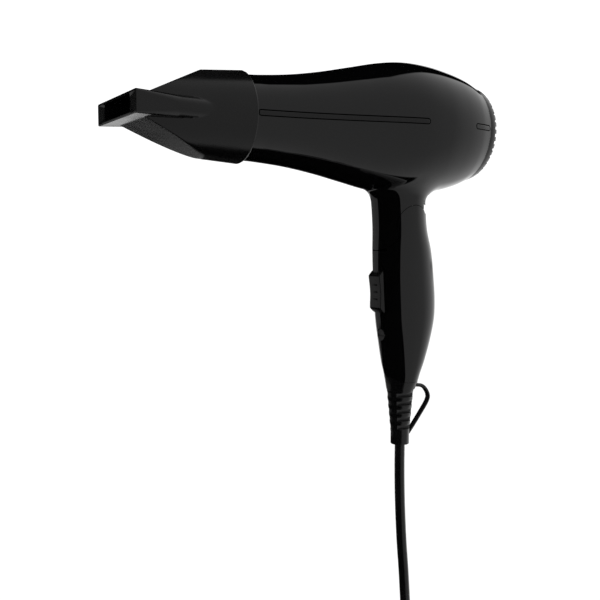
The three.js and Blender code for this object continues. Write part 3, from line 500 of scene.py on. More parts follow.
def nozzle_field(p):
    """Zero on the outside of the nozzle: the round body with its two cuts, joined to the duct."""
    x, y, z = p[:, 0], np.abs(p[:, 1]), np.abs(p[:, 2] - BARREL_AXIS_Z)
    cone = np.hypot(y, z) - (BODY_FRONT_R + BODY_TAPER * (x - BODY_FRONT_X))
    cut = (z - CUT_HALF - CUT_SLOPE * (x - CUT_X)) / math.hypot(1, CUT_SLOPE)
    body = np.maximum(smooth_max(cone, cut, CUT_FILLET), BODY_FRONT_X - x)
    width, height, corner = duct_size(x)
    over_y, over_z = y - width + corner, z - height + corner
    outside = np.hypot(np.maximum(over_y, 0), np.maximum(over_z, 0))
    duct = outside + np.minimum(np.maximum(over_y, over_z), 0) - corner
    return -smooth_max(-body, -duct, DUCT_FILLET)


def nozzle_angles(x):
    """Angles round the axis, close together where the nozzle has its edges."""
    width, height, corner = duct_size(x)
    radius = BODY_FRONT_R + BODY_TAPER * (x - BODY_FRONT_X)
    cut = CUT_HALF + CUT_SLOPE * (x - CUT_X)
    meets = math.asin(min(height / radius, 1))
    crease = math.asin(min(max(cut, height) / radius, 0.9995))
    stops = [0, math.atan2(height - corner, width), math.atan2(height, width - corner),
             meets - 0.012, meets + 0.012, crease - 0.03, crease + 0.03]
    for i in range(1, len(stops)):
        stops[i] = min(max(stops[i], stops[i - 1] + 0.008), math.pi / 2 - 0.008 * (len(stops) - i))
    stops.append(math.pi / 2)
    quarter = []
    for (start, end), count in zip(zip(stops, stops[1:]), (8, 8, 8, 4, 6, 6, 14)):
        quarter += list(np.linspace(start, end, count, endpoint=False))
    quarter = np.array(quarter)
    half = np.concatenate([quarter, [math.pi / 2], math.pi - quarter[:0:-1]])
    return np.concatenate([half, half + math.pi])


def nozzle_ring(x, inset, most=1e9):
    """One ring of the nozzle, inset from its outside, found by halving along rays from its axis."""
    angles = nozzle_angles(x)
    ray = np.column_stack([np.zeros_like(angles), np.cos(angles), np.sin(angles)])
    centre = np.array([x, 0, BARREL_AXIS_Z])
    low, high = np.zeros(len(angles)), np.full(len(angles), 45.0)
    for _ in range(34):
        middle = (low + high) / 2
        inside = nozzle_field(centre + middle[:, None] * ray) < -inset
        low, high = np.where(inside, middle, low), np.where(inside, high, middle)
    return centre + np.minimum(low, most)[:, None] * ray


def nozzle_piece():
    """The nozzle as one skin: outside, rear edge, bore, duct and mouth."""
    steps = [(TIP_X, -173.5, 6), (-173.5, -170.5, 16), (-170.5, -141, 20), (-141, -133, 20),
             (-133, REAR_X - 0.6, 12)]
    along = [TIP_X + 0.35]
    for start, end, count in steps:
        along += list(np.linspace(start, end, count + 1)[1:])
    outer = [nozzle_ring(x, 0) for x in along]
    rear = [nozzle_ring(REAR_X - 0.25, 0.1), nozzle_ring(REAR_X - 0.05, 0.3),
            nozzle_ring(REAR_X, 0.55), nozzle_ring(REAR_X, 0, NOZZLE_BORE + 0.5),
            nozzle_ring(REAR_X - 0.5, 0, NOZZLE_BORE)]
    inner = [nozzle_ring(SPIGOT_X, NOZZLE_WALL, NOZZLE_BORE)]
    for x in np.linspace(SPIGOT_X - 0.6, TIP_X + 0.5, 40):
        inner.append(nozzle_ring(x, NOZZLE_WALL, NOZZLE_BORE - 1))
    lip = [nozzle_ring(TIP_X, NOZZLE_WALL - 0.3), nozzle_ring(TIP_X, 0.35),
           nozzle_ring(TIP_X + 0.1, 0.1)]
    solid = Solid().loft(outer + rear + inner + lip, ring_shaped=True)
    ob = solid.build("nozzle")
    per = len(outer[0])
    skin = np.arange(len(solid.faces)) < (len(outer) - 1) * per
    set_normals(ob, np.array(solid.points), nozzle_field, skin)
    return ob


# ---------------------------------------------------------------- inlaid strips
# half width, which is also the radius of the ends, height over the barrel, drop of the edges, depth
STRIP_HALF, STRIP_PROUD, STRIP_DROP, STRIP_DEPTH = 1.42, 0.05, 0.5, 0.8


def strip_piece(name, side, start, end):
    """A strip along the side of the barrel, rounded at both ends and softened along its edges."""
    ends = [0, 0.05, 0.15, 0.35, 0.65, 1, 1.5]
    count = max(4, int((end - start) / 1.5))
    middle = np.linspace(start + STRIP_HALF, end - STRIP_HALF, count)[1:-1]
    rings = []
    for distance in [start + e for e in ends] + list(middle) + [end - e for e in reversed(ends)]:
        to_round = 1 - min(distance - start, end - distance, STRIP_HALF) / STRIP_HALF
        half = STRIP_HALF * math.sqrt(max(1 - to_round ** 2, 0.01))
        radius = float(station(BARREL_OUTLINE, 1, np.array([distance]))[0])
        x = BARREL_FRONT_X + distance
        ring = []
        for v in np.linspace(-1, 1, 13):
            z = v * half
            top = radius + STRIP_PROUD - STRIP_DROP * max(abs(v) ** 8, to_round ** 8)
            ring.append((x, side * math.sqrt(top ** 2 - z * z), BARREL_AXIS_Z + z))
        for v in (1, -1):
            ring.append((x, side * (radius - STRIP_DEPTH), BARREL_AXIS_Z + v * half))
        rings.append(ring)
    return Solid().loft(rings).build(name, sharp=50)


# ---------------------------------------------------------------- rear cap and screen
CAP_FACE_X = 44.3
CAP_SECTORS = 40
# shares of a sector where its columns start: the first three are solid, the others are the slot
CAP_COLUMNS, CAP_SOLID = (0, 0.18, 0.37, 0.56, 0.71, 0.85), 3
CAP_SLOT_OUTER, CAP_SLOT_INNER = 29.3, 10.0
# distance behind the face, and radius
CAP_PROFILE = [
    (0, 30.0), (0.25, 30.2), (1.5, 30.1), (3.2, 29.7), (4.5, CAP_SLOT_OUTER), (5.7, 28.7),
    (6.6, 28.0), (7.15, 27.0), (7.4, 25.6), (7.55, 20), (7.55, 15), (7.55, CAP_SLOT_INNER),
    (7.6, 9.2), (7.3, 8.8), (7.3, 8), (7.6, 7.6), (7.65, 4), (7.7, 0.6),
]
CAP_WALL = 1.5
SKIRT_FRONT_X, SKIRT_REAR_X, SKIRT_INNER, SKIRT_OUTER = 38, CAP_FACE_X + 1.4, 24.2, 25.7


def round_band(front_x, rear_x, inner, outer):
    """A plain ring about the barrel axis."""
    profile = [(front_x, inner), (front_x, outer), (rear_x, outer), (rear_x, inner)]
    return Solid().loft(turn_x(profile), ring_shaped=True)


def cap_piece():
    """A domed cap with a ring of narrow slots that run out to its rim, on a plain skirt."""
    columns = [(k + share) / CAP_SECTORS for k in range(CAP_SECTORS) for share in CAP_COLUMNS]
    per = len(columns)
    points = []
    for x, radius in CAP_PROFILE:
        for column in columns:
            y, z = radius * math.cos(2 * math.pi * column), radius * math.sin(2 * math.pi * column)
            points.append((CAP_FACE_X + x, y, BARREL_AXIS_Z + z))
    faces = []
    last = len(CAP_PROFILE) - 1
    for r in range(last):
        slotted = CAP_SLOT_INNER <= CAP_PROFILE[r + 1][1] and CAP_PROFILE[r][1] <= CAP_SLOT_OUTER
        for i in range(per):
            if slotted and i % len(CAP_COLUMNS) >= CAP_SOLID:
                continue
            j = (i + 1) % per
            faces.append((r * per + i, r * per + j, (r + 1) * per + j, (r + 1) * per + i))
    faces.append(tuple(range(last * per, (last + 1) * per)))
    shell = mesh_object("cap", points, faces, 35)
    mesh = bmesh.new()
    mesh.from_mesh(shell.data)
    bmesh.ops.recalc_face_normals(mesh, faces=mesh.faces)
    mesh.faces.ensure_lookup_table()
    if mesh.faces[-1].normal.x < 0:
        bmesh.ops.reverse_faces(mesh, faces=mesh.faces)
    bmesh.ops.solidify(mesh, geom=mesh.faces, thickness=CAP_WALL * MM)
    skirt = round_band(SKIRT_FRONT_X, SKIRT_REAR_X, SKIRT_INNER, SKIRT_OUTER).build("cap_skirt")
    mesh.from_mesh(skirt.data)
    bpy.data.objects.remove(skirt)
    mesh.to_mesh(shell.data)
    mesh.free()
    shell.data.polygons.foreach_set("use_smooth", [True] * len(shell.data.polygons))
    shell.data.set_sharp_from_angle(angle=math.radians(32))
    return shell


def screen_piece():
    """A screen of crossed wires in a round frame, just inside the cap."""
    inner, pitch, wire = 22.2, 1.6, 0.14
    screen = round_band(39.0, 41.0, inner, 23.8)
    level_x, upright_x, wires_end_x = 39.7, 40.0, 40.3
    for k in range(-13, 14):
        at = k * pitch
        half = math.sqrt((inner + 0.6) ** 2 - at * at)
        screen.box((level_x, -half, BARREL_AXIS_Z + at - wire),
                   (upright_x, half, BARREL_AXIS_Z + at + wire))
        screen.box((upright_x, at - wire, BARREL_AXIS_Z - half),
                   (wires_end_x, at + wire, BARREL_AXIS_Z + half))
    return screen.build("screen")


# ---------------------------------------------------------------- switch button
BUTTON_MIDDLE_Z, BUTTON_TILT = 6.6, 0.052
BUTTON_FACE_X, BUTTON_HALF_WIDTH = -20.5, 5.8
BUTTON_FACE_HALF, BUTTON_END_SLOPE = 10.0, 0.95
BUTTON_EDGE_R, BUTTON_DISH = 0.35, 0.6
# the underside follows the grip: an arc of this radius about an upright line at this x
BUTTON_UNDER_R, BUTTON_UNDER_X = 14.35, -4.4
BUTTON_END_Z = [12, 12.45, 12.7, 12.8]
RIB_PITCH = 4.4
# height over the face, half width and half height of a rib's three outlines
RIB_ROWS = [(-0.3, 2.2, 0.5), (0.15, 2.15, 0.45), (0.28, 1.9, 0.25)]


def button_face(z):
    """How far the face of the button lies behind its highest line."""
    dish = BUTTON_DISH * (1 - min(abs(z) / BUTTON_FACE_HALF, 1) ** 2) ** 2
    slope = max(abs(z) - BUTTON_FACE_HALF, 0) * BUTTON_END_SLOPE
    return dish + slope


def button_piece():
    """A slide button with three plain ribs across its dished face."""
    rings = []
    ends = np.array(BUTTON_END_Z)
    for z in np.concatenate([-ends[::-1], np.linspace(-11.4, 11.4, 31), ends]):
        end = max(abs(z) - 12.2, 0) / 0.6
        shrink = 0.45 * (1 - math.sqrt(max(1 - end * end, 0)))
        front = BUTTON_FACE_X + button_face(z) + shrink
        half = BUTTON_HALF_WIDTH - shrink
        corner = [(front + BUTTON_EDGE_R * (1 - math.cos(a)),
                   half - BUTTON_EDGE_R * (1 - math.sin(a))) for a in np.linspace(0, math.pi / 2, 6)]
        under = [(BUTTON_UNDER_X - math.sqrt(BUTTON_UNDER_R ** 2 - y * y), y)
                 for y in np.linspace(half, -half, 17)]
        ring = corner + under + [(x, -y) for x, y in reversed(corner)]
        rings.append([(x, y, z) for x, y in ring])
    button = Solid().loft(rings)
    for z in (-RIB_PITCH, 0, RIB_PITCH):
        front = BUTTON_FACE_X + button_face(z)
        button.loft([[(front - height, half_width * across, z + half_height * up)
                      for across, up in SQUARE] for height, half_width, half_height in RIB_ROWS])
    button.box((BUTTON_FACE_X + 1.9, -2.6, -4), (-14.2, 2.6, 4))
    turn_back = Matrix.Translation((0, 0, BUTTON_MIDDLE_Z)) @ Matrix.Rotation(-BUTTON_TILT, 4, "Y")
    button.points = [tuple(turn_back @ Vector(point)) for point in button.points]
    return button.build("button", sharp=40)


# ---------------------------------------------------------------- strain relief and hanging loop
RELIEF_X = -0.7
RELIEF_TOP_Z, RELIEF_TAPER_Z, RELIEF_BOTTOM_Z = -55.5, -83.0, -90.4
RELIEF_TOP_R, RELIEF_END_R = 8.4, 5.8
GROOVES, GROOVE_TOP_Z, GROOVE_PITCH = 5, -58.9, 5.1
# rings of a groove: height over its middle, share of the radius left at the sides, and cut all round
GROOVE_ROWS = [
    (1.5, 1, 0), (1.25, 1, 0.2), (1.2, 0.6, 0.2), (-1.2, 0.6, 0.2), (-1.25, 1, 0.2), (-1.5, 1, 0),
]
LOOP_HALF_THICK, LOOP_HALF_WIDE = 1.2, 1.9
LOOP_ROUTE = [(4, 0, -53.2), (10.6, 0, -54.2), (17, 0, -55.6), (20.8, 0, -60.5), (20.4, 0, -65),
              (14.5, 0, -73), (8, 0, -81), (4, 0, -85.5)]
# x and z along the upper edge of the collar
COLLAR_EDGE = [(-16, -43.3), (-10.4, -47), (-7.7, -49), (-3.7, -50.6), (1, -50.8), (16, -50.7)]


def relief_radius(z):
    t = min(max((RELIEF_TOP_Z - z) / (RELIEF_TOP_Z - RELIEF_TAPER_Z), 0), 1)
    return RELIEF_TOP_R + (RELIEF_END_R - RELIEF_TOP_R) * t


def relief_piece():
    """A collar that follows the grip, a grooved taper below it and the hanging loop."""
    turn = np.linspace(0, 2 * np.pi, 64, endpoint=False)
    power = 2 / GRIP_ROUNDNESS
    across = np.sign(np.cos(turn)) * np.abs(np.cos(turn)) ** power
    aside = np.sign(np.sin(turn)) * np.abs(np.sin(turn)) ** power
    collar = []
    for share in np.linspace(0, 1, 9):
        z = np.full(len(turn), RELIEF_TOP_Z + 0.4)
        for _ in range(4):
            front, rear, depth = (station(GRIP_SECTIONS, k, z) for k in (1, 2, 3))
            x = (front + rear) / 2 + (rear - front) / 2 * across
            y = depth * aside
            top = np.interp(x, *zip(*COLLAR_EDGE))
            z = RELIEF_TOP_Z + (top - RELIEF_TOP_Z) * share
        collar.append(np.column_stack([x, y, z]))
    relief = Solid().loft(collar)
    cut = math.asin(0.6)
    quarter = np.concatenate([np.linspace(0, cut, 7)[:-1], [cut - 0.002, cut + 0.002],
                              np.linspace(cut, np.pi / 2, 8)[1:-1]])
    around = np.concatenate([quarter, [np.pi / 2], np.pi - quarter[:0:-1]])
    around = np.concatenate([around, around + np.pi])

    def ring(z, radius, share=1.0):
        y = np.clip(radius * np.sin(around), -share * radius, share * radius)
        return np.column_stack([RELIEF_X + radius * np.cos(around), y, np.full(len(around), z)])

    rings = [ring(RELIEF_TOP_Z + 0.5, RELIEF_TOP_R - 0.6),
             ring(RELIEF_TOP_Z + 0.1, RELIEF_TOP_R - 0.15), ring(RELIEF_TOP_Z - 0.3, RELIEF_TOP_R)]
    for i in range(GROOVES):
        middle = GROOVE_TOP_Z - GROOVE_PITCH * i
        for z, share, less in GROOVE_ROWS:
            rings.append(ring(middle + z, relief_radius(middle + z) - less, share))
    rings += [ring(RELIEF_TAPER_Z, RELIEF_END_R), ring(RELIEF_BOTTOM_Z + 0.5, RELIEF_END_R),
              ring(RELIEF_BOTTOM_Z + 0.15, RELIEF_END_R - 0.15),
              ring(RELIEF_BOTTOM_Z, RELIEF_END_R - 0.5)]
    relief.loft(rings)
    route = spline_points([Vector(p) for p in LOOP_ROUTE], 8)
    band = []
    for i, place in enumerate(route):
        ahead = (route[min(i + 1, len(route) - 1)] - route[max(i - 1, 0)]).normalized()
        out = Vector((ahead.z, 0, -ahead.x))
        band.append([tuple(place + out * LOOP_HALF_THICK * math.cos(a)
                           + Vector((0, LOOP_HALF_WIDE * math.sin(a), 0)))
                     for a in np.linspace(0, 2 * math.pi, 20, endpoint=False)])
    relief.loft(band)
    return relief.build("relief", sharp=40)


# ---------------------------------------------------------------- plug, pins and tie
PLUG_X, PLUG_Y, PLUG_TOP_Z, PLUG_LENGTH = 5.0, -20.0, -322.0, 34.0
PLUG_CORNER_POWER = 0.72
PIN_APART, PIN_REACH, PIN_RADIUS = 19.0, 19, 2
# finger grooves across the body: where they start and end, their pitch and their depth
PLUG_GRIP_FROM, PLUG_GRIP_TO, PLUG_GRIP_PITCH, PLUG_GRIP_DEPTH = 12, 27, 3, 0.35
# drop below the top of the body, half width, half thickness
PLUG_ROWS = [
    (0, 5.4, 5), (0.8, 7.4, 5.7), (2.6, 11, 6.9), (6, 14, 7.7), (10, 15.6, 8.2), (16, 16.7, 8.5),
    (24, 17.4, 8.6), (31, 17.3, 8.5), (33, 17.1, 8.4), (33.7, 16.8, 8.1), (34, 16.2, 7.6),
]


def plug_ring(z, half_width, half_thickness):
    turn = np.linspace(0, 2 * np.pi, 64, endpoint=False)
    c, s = np.cos(turn), np.sin(turn)
    x = PLUG_X + half_width * np.sign(c) * np.abs(c) ** PLUG_CORNER_POWER
    y = PLUG_Y + half_thickness * np.sign(s) * np.abs(s) ** PLUG_CORNER_POWER
    return np.column_stack([x, y, np.full(len(turn), z)])


def plug_piece():
    """The plug's body with finger grooves, and a ribbed sleeve where the cord goes in."""
    plug = Solid()
    drops = np.concatenate([np.linspace(0, 10, 18), np.linspace(11, 31, 24),
                            [32, 33, 33.4, 33.7, 33.9, PLUG_LENGTH]])
    rings = []
    for drop in drops:
        half_width, half_thickness = (float(station(PLUG_ROWS, k, np.array([drop]))[0])
                                      for k in (1, 2))
        grip = 0
        if PLUG_GRIP_FROM < drop < PLUG_GRIP_TO:
            wave = math.cos(2 * math.pi * (drop - PLUG_GRIP_FROM) / PLUG_GRIP_PITCH)
            grip = PLUG_GRIP_DEPTH * (1 - wave) / 2
        rings.append(plug_ring(PLUG_TOP_Z - drop, half_width - grip, half_thickness))
    plug.loft(rings)
    sleeve = [(-301, 3.5), (-301.2, 3.8)]
    for i in range(5):
        z, radius = -303.5 - 3.4 * i, 4 + 0.16 * i
        sleeve += [(z, radius), (z - 0.1, radius - 0.5), (z - 1.1, radius - 0.5), (z - 1.2, radius)]
    plug.loft(turn_z(sleeve + [(PLUG_TOP_Z, 5.6)], PLUG_X, PLUG_Y))
    return plug.build("plug", sharp=40)


def pin_piece(name, side):
    """A round pin with a softened tip, sunk in the plug's body."""
    x = PLUG_X + side * PIN_APART / 2
    low = PLUG_TOP_Z - PLUG_LENGTH - PIN_REACH
    profile = [(PLUG_TOP_Z - 28, PIN_RADIUS), (low + 1.2, PIN_RADIUS), (low + 0.6, 1.85),
               (low + 0.2, 1.5), (low, 1.0)]
    return Solid().loft(turn_z(profile, x, PLUG_Y, 32)).build(name, sharp=50)


def tie_piece():
    """A woven strap round the waist of the hank, with one end folded over the other."""
    half_x, half_y, corner = 15.2, 10.8, 4.0
    middle_z, half_height, thick = -286.6, 7.0, 1.2
    path = []
    # the four rounded corners, as a middle and a direction
    for sx, sy, start in ((1, 1, 0), (-1, 1, 90), (-1, -1, 180), (1, -1, 270)):
        for a in np.linspace(math.radians(start), math.radians(start + 90), 9):
            path.append((sx * (half_x - corner), sy * (half_y - corner), math.cos(a), math.sin(a)))
    # depth and height of the woven band's section
    section = [(0, -0.92), (0.15, -1), (0.85, -1), (1, -0.92),
               (1, 0.92), (0.85, 1), (0.15, 1), (0, 0.92)]
    rings = [[(HANK_X + cx + (corner + thick * t) * c, cy + (corner + thick * t) * s,
               middle_z + half_height * v) for t, v in section] for cx, cy, c, s in path]
    tie = Solid().loft(rings, ring_shaped=True)
    flap = []
    for x in (-9, -8.7, 8.7, 9):
        flap.append([(HANK_X + x, half_y + y, middle_z + (half_height - 0.4) * v)
                     for y, v in ((thick - 0.1, -1), (thick + 0.2, -1),
                                  (thick + 0.2, 1), (thick - 0.1, 1))])
    return tie.loft(flap).build("tie", sharp=40)


# ---------------------------------------------------------------- sleeves behind the fold seam
HINGE_X, HINGE_Z = -0.3, 46.0
SLEEVE_INNER, SLEEVE_OUTER = 12.005, 12.33
SLEEVE_FROM, SLEEVE_TO, SLEEVE_STEPS = math.radians(46), math.radians(172), 43
# distances from the middle plane, and from the grip's skin
SLEEVE_NEAR_Y, SLEEVE_FAR_Y, SLEEVE_UNDER_SKIN = 11.0, 12.3, 0.3


def grip_half_depth(x, z):
    """Distance of the grip's skin from the middle plane at x and z."""
    front, rear, depth = (float(station(GRIP_SECTIONS, k, np.array([z]))[0]) for k in (1, 2, 3))
    u = abs(x - (front + rear) / 2) / ((rear - front) / 2)
    return depth * max(1 - u ** GRIP_ROUNDNESS, 0) ** (1 / GRIP_ROUNDNESS)


def seam_sleeve(name, side):
    """A thin arc that keeps light from passing through the round part of the fold seam."""
    rings = []
    for angle in np.linspace(SLEEVE_FROM, SLEEVE_TO, SLEEVE_STEPS):
        c, s = math.cos(angle), math.sin(angle)
        skin = grip_half_depth(HINGE_X + SLEEVE_OUTER * c, HINGE_Z + SLEEVE_OUTER * s)
        edge = min(SLEEVE_FAR_Y, skin - SLEEVE_UNDER_SKIN)
        section = ((SLEEVE_INNER, SLEEVE_NEAR_Y), (SLEEVE_OUTER, SLEEVE_NEAR_Y),
                   (SLEEVE_OUTER, edge), (SLEEVE_INNER, edge))
        rings.append([(HINGE_X + r * c, side * y, HINGE_Z + r * s) for r, y in section])
    return Solid().loft(rings).build(name)


# ---------------------------------------------------------------- materials
def surface(name, color, rough, metallic=0.0, grain=900.0, grain_depth=0.00002,
            vary=0.15, rough_vary=0.05, specular=0.5):
    """A moulded or metal surface with uneven colour, uneven gloss and a fine grain."""
    material = bpy.data.materials.new(name)
    material.use_nodes = True
    nodes, links = material.node_tree.nodes, material.node_tree.links
    shader = nodes["Principled BSDF"]
    shader.inputs["Metallic"].default_value = metallic
    shader.inputs["Specular IOR Level"].default_value = specular
    place = nodes.new("ShaderNodeTexCoord")
    cloud = nodes.new("ShaderNodeTexNoise")
    cloud.inputs["Scale"].default_value = 45.0
    cloud.inputs["Detail"].default_value = 6.0
    links.new(place.outputs["Object"], cloud.inputs["Vector"])
    ramp = nodes.new("ShaderNodeValToRGB")
    ramp.color_ramp.elements[0].position = 0.3
    ramp.color_ramp.elements[1].position = 0.7
    ramp.color_ramp.elements[0].color = (*[c * (1 - vary) for c in color], 1)
    ramp.color_ramp.elements[1].color = (*[min(1.0, c * (1 + vary)) for c in color], 1)
    links.new(cloud.outputs["Fac"], ramp.inputs["Fac"])
    links.new(ramp.outputs["Color"], shader.inputs["Base Color"])
    gloss = nodes.new("ShaderNodeMapRange")
    gloss.inputs["From Min"].default_value = 0.3
    gloss.inputs["From Max"].default_value = 0.7
    gloss.inputs["To Min"].default_value = max(0.02, rough - rough_vary)
    gloss.inputs["To Max"].default_value = min(1.0, rough + rough_vary)
    links.new(cloud.outputs["Fac"], gloss.inputs["Value"])
    links.new(gloss.outputs["Result"], shader.inputs["Roughness"])
    fine = nodes.new("ShaderNodeTexNoise")
    fine.inputs["Scale"].default_value = grain
    fine.inputs["Detail"].default_value = 3.0
    links.new(place.outputs["Object"], fine.inputs["Vector"])
    bump = nodes.new("ShaderNodeBump")
    bump.inputs["Strength"].default_value = 1.0
    bump.inputs["Distance"].default_value = grain_depth
    links.new(fine.outputs["Fac"], bump.inputs["Height"])
    links.new(bump.outputs["Normal"], shader.inputs["Normal"])
    return material


LOOKS = {
    "gloss_shell": surface("gloss_black", (0.0008, 0.0008, 0.0009), 0.025, grain=260,
                           grain_depth=0.000002, rough_vary=0.01),
    "satin_plastic": surface("satin_black", (0.0012, 0.0012, 0.0013), 0.22, grain=2600,
                             grain_depth=0.000003, specular=0.4),
    # painted shade: the shell's black without reflections, for seam walls, inside faces and the seam
    # sleeves
    "seam_painted_shade": surface("seam_painted_shade", (0.0005, 0.0005, 0.0005), 0.9, specular=0.0),
    "soft_rubber": surface("soft_black", (0.0014, 0.0014, 0.0015), 0.24, grain=1800,
                           grain_depth=0.000006),
    "steel": surface("steel", (0.55, 0.56, 0.58), 0.32, 1.0, grain=1400, grain_depth=0.00001),
    "brass": surface("brass", (0.72, 0.53, 0.24), 0.3, 1.0, grain=1200, grain_depth=0.00001),
    "mica": surface("mica", (0.48, 0.41, 0.3), 0.5, grain=700, grain_depth=0.00003, vary=0.3),
    "white_plastic": surface("white_plastic", (0.72, 0.71, 0.67), 0.42, grain=1500,
                             grain_depth=0.00001, vary=0.05),
    "board": surface("board", (0.02, 0.12, 0.04), 0.45, grain=900, grain_depth=0.00002),
    "diode_epoxy": surface("diode_epoxy", (0.012, 0.012, 0.013), 0.45, grain=1600,
                           grain_depth=0.00001),
    "lead_brown": surface("lead_brown", (0.12, 0.045, 0.018), 0.5, grain=1500, grain_depth=0.00001),
    "lead_blue": surface("lead_blue", (0.02, 0.09, 0.35), 0.5, grain=1500, grain_depth=0.00001),
    "tie_strap": surface("tie_strap", (0.013, 0.013, 0.014), 0.62, grain=1900, grain_depth=0.00003),
}


def finish_piece(piece, body, slot, *nodes, look=None):
    """Says what a piece rides on and which nodes it replaces, and gives it the material of look, or
    else of slot.
    """
    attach(piece, body)
    if nodes:
        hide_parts(*nodes)
    piece.data.materials.clear()
    piece.data.materials.append(LOOKS[look or slot])
    return piece


def darken_inside(shell):
    """Makes the seams, the edges and the inside of a shell dull: the shell's own black with its
    reflections taken away, as painted shade in the gaps.
    """
    inside = np.empty(len(shell.data.polygons), bool)
    shell.data.attributes["inside"].data.foreach_get("value", inside)
    shell.data.materials.append(LOOKS["seam_painted_shade"])
    shell.data.polygons.foreach_set("material_index", inside.astype(np.int32))


# ---------------------------------------------------------------- pieces in place
for side, sign in (("left", -1), ("right", 1)):
    barrel_shell = smooth_shell(f"barrel_{side}", f"shell_barrel_{side}", shell_field)
    finish_piece(barrel_shell, "barrel", "gloss_shell", f"barrel_{side}")
    darken_inside(barrel_shell)
    handle_shell = smooth_shell(f"handle_{side}", f"shell_handle_{side}", shell_field)
    finish_piece(handle_shell, "handle", "gloss_shell", f"handle_{side}")
    darken_inside(handle_shell)
    for place, start, end in (("front", 1, 102.5), ("rear", 139.7, 154.5)):
        strip = strip_piece(f"strip_{place}_{side}", sign, start, end)
        finish_piece(strip, "barrel", "satin_plastic", f"side_strip_{place}_{side}")
    sleeve = seam_sleeve(f"seam_sleeve_{side}", sign)
    # the sleeve gets the same painted shade as the seam walls
    finish_piece(sleeve, "barrel", "satin_plastic", look="seam_painted_shade")
finish_piece(nozzle_piece(), "nozzle", "satin_plastic", "concentrator_nozzle")
finish_piece(cap_piece(), "inlet", "gloss_shell", "inlet_cap")
finish_piece(screen_piece(), "inlet", "steel", "inlet_filter")
finish_piece(button_piece(), "switch_button", "satin_plastic", "switch_button")
finish_piece(relief_piece(), "handle", "soft_rubber", "strain_relief")
plug = finish_piece(plug_piece(), "handle", "soft_rubber", "mains_plug")
pins = [finish_piece(pin_piece(f"pin_{side}", sign), "handle", "brass", f"plug_pin_{side}")
        for side, sign in (("left", -1), ("right", 1))]
tie = finish_piece(tie_piece(), "handle", "tie_strap", "hank_tie")

# ---------------------------------------------------------------- the free cord
finish_piece(cord, "handle", "soft_rubber", "mains_cord", "cord_hank", "cord_tail")

# ---------------------------------------------------------------- carried-over nodes
NODE_LOOKS = {
    "steel": ("handle_screw_1", "handle_screw_2", "hinge_pin", "motor_can", "motor_shaft",
              "thermal_fuse", "heater_coil_low", "heater_coil_high"),
    "brass": ("thermostat",),
    "mica": ("mica_sleeve", "mica_plate_upright", "mica_plate_level"),
    "white_plastic": ("switch_module", "voltage_switch", "cord_clamp", "fan_impeller"),
    "board": ("rectifier_board",),
    "diode_epoxy": ("diode_1", "diode_2", "diode_3", "diode_4"),
    "lead_brown": ("lead_brown",),
    "lead_blue": ("lead_blue",),
    "satin_plastic": ("voltage_dial", "fan_housing", "outlet_grille"),
    "soft_rubber": ("cord_sheath_end",),
}
for look, names in NODE_LOOKS.items():
    for name in names:
        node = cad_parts[name]
        node.data.materials.clear()
        node.data.materials.append(LOOKS[look])

# ---------------------------------------------------------------- studio
bpy.context.scene.view_settings.view_transform = "Standard"
world = bpy.data.worlds.new("studio")
world.use_nodes = True
bpy.context.scene.world = world
tree = world.node_tree
ROOM_LIGHT = 1.12
CARD_LIGHT, WALL_LIGHT, PATCH_LIGHT = 1.1, 0.34, 0.36


def math_node(operation, *values):
    node = tree.nodes.new("ShaderNodeMath")
    node.operation = operation
    for socket, value in zip(node.inputs, values):
        if isinstance(value, (int, float)):
            socket.default_value = value
        else:
            tree.links.new(value, socket)
    return node.outputs[0]


def ramp_up(value, start, end):
    """0 below start, 1 above end, straight between."""
    node = tree.nodes.new("ShaderNodeMapRange")
    node.inputs["From Min"].default_value = start
    node.inputs["From Max"].default_value = end
    tree.links.new(value, node.inputs["Value"])
    return node.outputs["Result"]


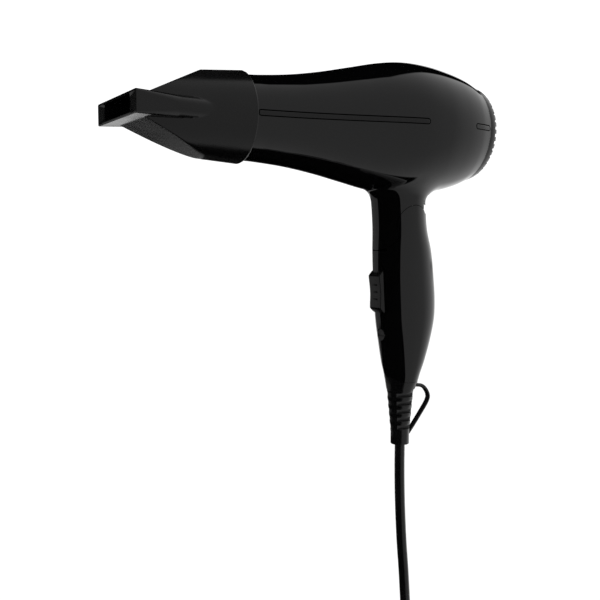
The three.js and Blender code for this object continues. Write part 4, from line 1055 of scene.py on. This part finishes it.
def studio_panels():
    """What the glossy shell mirrors, as brightness by direction: x to the right, y back, z up."""
    place = tree.nodes.new("ShaderNodeTexCoord")
    split = tree.nodes.new("ShaderNodeSeparateXYZ")
    tree.links.new(place.outputs["Generated"], split.inputs["Vector"])
    x, y, z = split.outputs
    # a big softbox in front
    past_front = math_node("SUBTRACT", y, math_node("MULTIPLY_ADD", z, -0.03, 0.03))
    front = math_node("MULTIPLY", ramp_up(past_front, 0.02, -0.02), ramp_up(x, -0.18, -0.15))
    # it goes on to the right: over the top up to a slanting edge, and lower down on that whole side
    diagonal = math_node("SUBTRACT", x, math_node("MULTIPLY_ADD", y, 0.9, 0.32))
    above = math_node("MULTIPLY", ramp_up(diagonal, 0.0, 0.04), ramp_up(z, -0.02, 0.02))
    below = math_node("MULTIPLY", ramp_up(x, 0.52, 0.56), ramp_up(z, 0.02, -0.02))
    right = math_node("MAXIMUM", above, below)
    right = math_node("MULTIPLY", right, ramp_up(past_front, -0.08, -0.02))
    # brighter towards the right and the back
    turned_back = math_node("MULTIPLY_ADD", x, 0.75, -0.17)
    turned_back = math_node("MULTIPLY", ramp_up(y, -0.6, 0.3), turned_back)
    level = math_node("ADD", turned_back, 0.49)
    level = math_node("MULTIPLY_ADD", ramp_up(x, 0.75, 0.95), 0.15, level)
    level = math_node("MULTIPLY_ADD", ramp_up(y, 0.45, 0.6), 0.35, level)
    level = math_node("MULTIPLY", level, math_node("MAXIMUM", front, right))
    # behind: white on the right and on a small card low down, dim on a wall and on a patch below it
    behind = ramp_up(y, 0.62, 0.66)
    bright = math_node("MULTIPLY", ramp_up(x, 0.56, 0.66), ramp_up(z, 0.42, 0.36))
    bright = math_node("MULTIPLY", bright, CARD_LIGHT)
    wall = math_node("MULTIPLY", ramp_up(z, 0.12, 0.06), ramp_up(z, -0.31, -0.26))
    wall = math_node("MULTIPLY", math_node("MULTIPLY", wall, ramp_up(x, 0.55, -0.75)), WALL_LIGHT)
    patch = math_node("MULTIPLY", ramp_up(x, 0.12, 0.22), ramp_up(z, -0.26, -0.31))
    patch = math_node("MULTIPLY", math_node("MULTIPLY", patch, ramp_up(x, 0.34, 0.28)), PATCH_LIGHT)
    card = math_node("MULTIPLY", ramp_up(x, 0.10, 0.14), ramp_up(x, 0.38, 0.34))
    card_height = math_node("MULTIPLY", ramp_up(z, -0.25, -0.22), ramp_up(z, -0.06, -0.10))
    card = math_node("MULTIPLY", card, card_height)
    bright = math_node("MAXIMUM", bright, math_node("MULTIPLY", card, CARD_LIGHT))
    dim = math_node("MAXIMUM", wall, patch)
    back = math_node("MULTIPLY", behind, math_node("MAXIMUM", bright, dim))
    return math_node("MAXIMUM", level, back)


rays = tree.nodes.new("ShaderNodeLightPath")
plain = tree.nodes["Background"]
plain.inputs["Color"].default_value = (1, 1, 1, 1)
plain.inputs["Strength"].default_value = ROOM_LIGHT
panels = tree.nodes.new("ShaderNodeBackground")
panels.inputs["Color"].default_value = (1, 1, 1, 1)
tree.links.new(studio_panels(), panels.inputs["Strength"])
either = tree.nodes.new("ShaderNodeMixShader")
tree.links.new(rays.outputs["Is Glossy Ray"], either.inputs["Fac"])
tree.links.new(plain.outputs[0], either.inputs[1])
tree.links.new(panels.outputs[0], either.inputs[2])
tree.links.new(either.outputs[0], tree.nodes["World Output"].inputs["Surface"])

FLOOR_REACH, FLOOR_Z = 40000.0, -377.0
floor_corners = [(x * FLOOR_REACH, y * FLOOR_REACH, FLOOR_Z) for x, y in SQUARE]
floor = mesh_object("floor", floor_corners, [(0, 1, 2, 3)], 0)
floor_look = surface("pale_floor", (0.95, 0.95, 0.95), 0.6, grain=20, grain_depth=0.0001,
                     vary=0.01, specular=0.0)
floor.data.materials.append(floor_look)
floor.visible_glossy = False

bpy.context.view_layer.update()
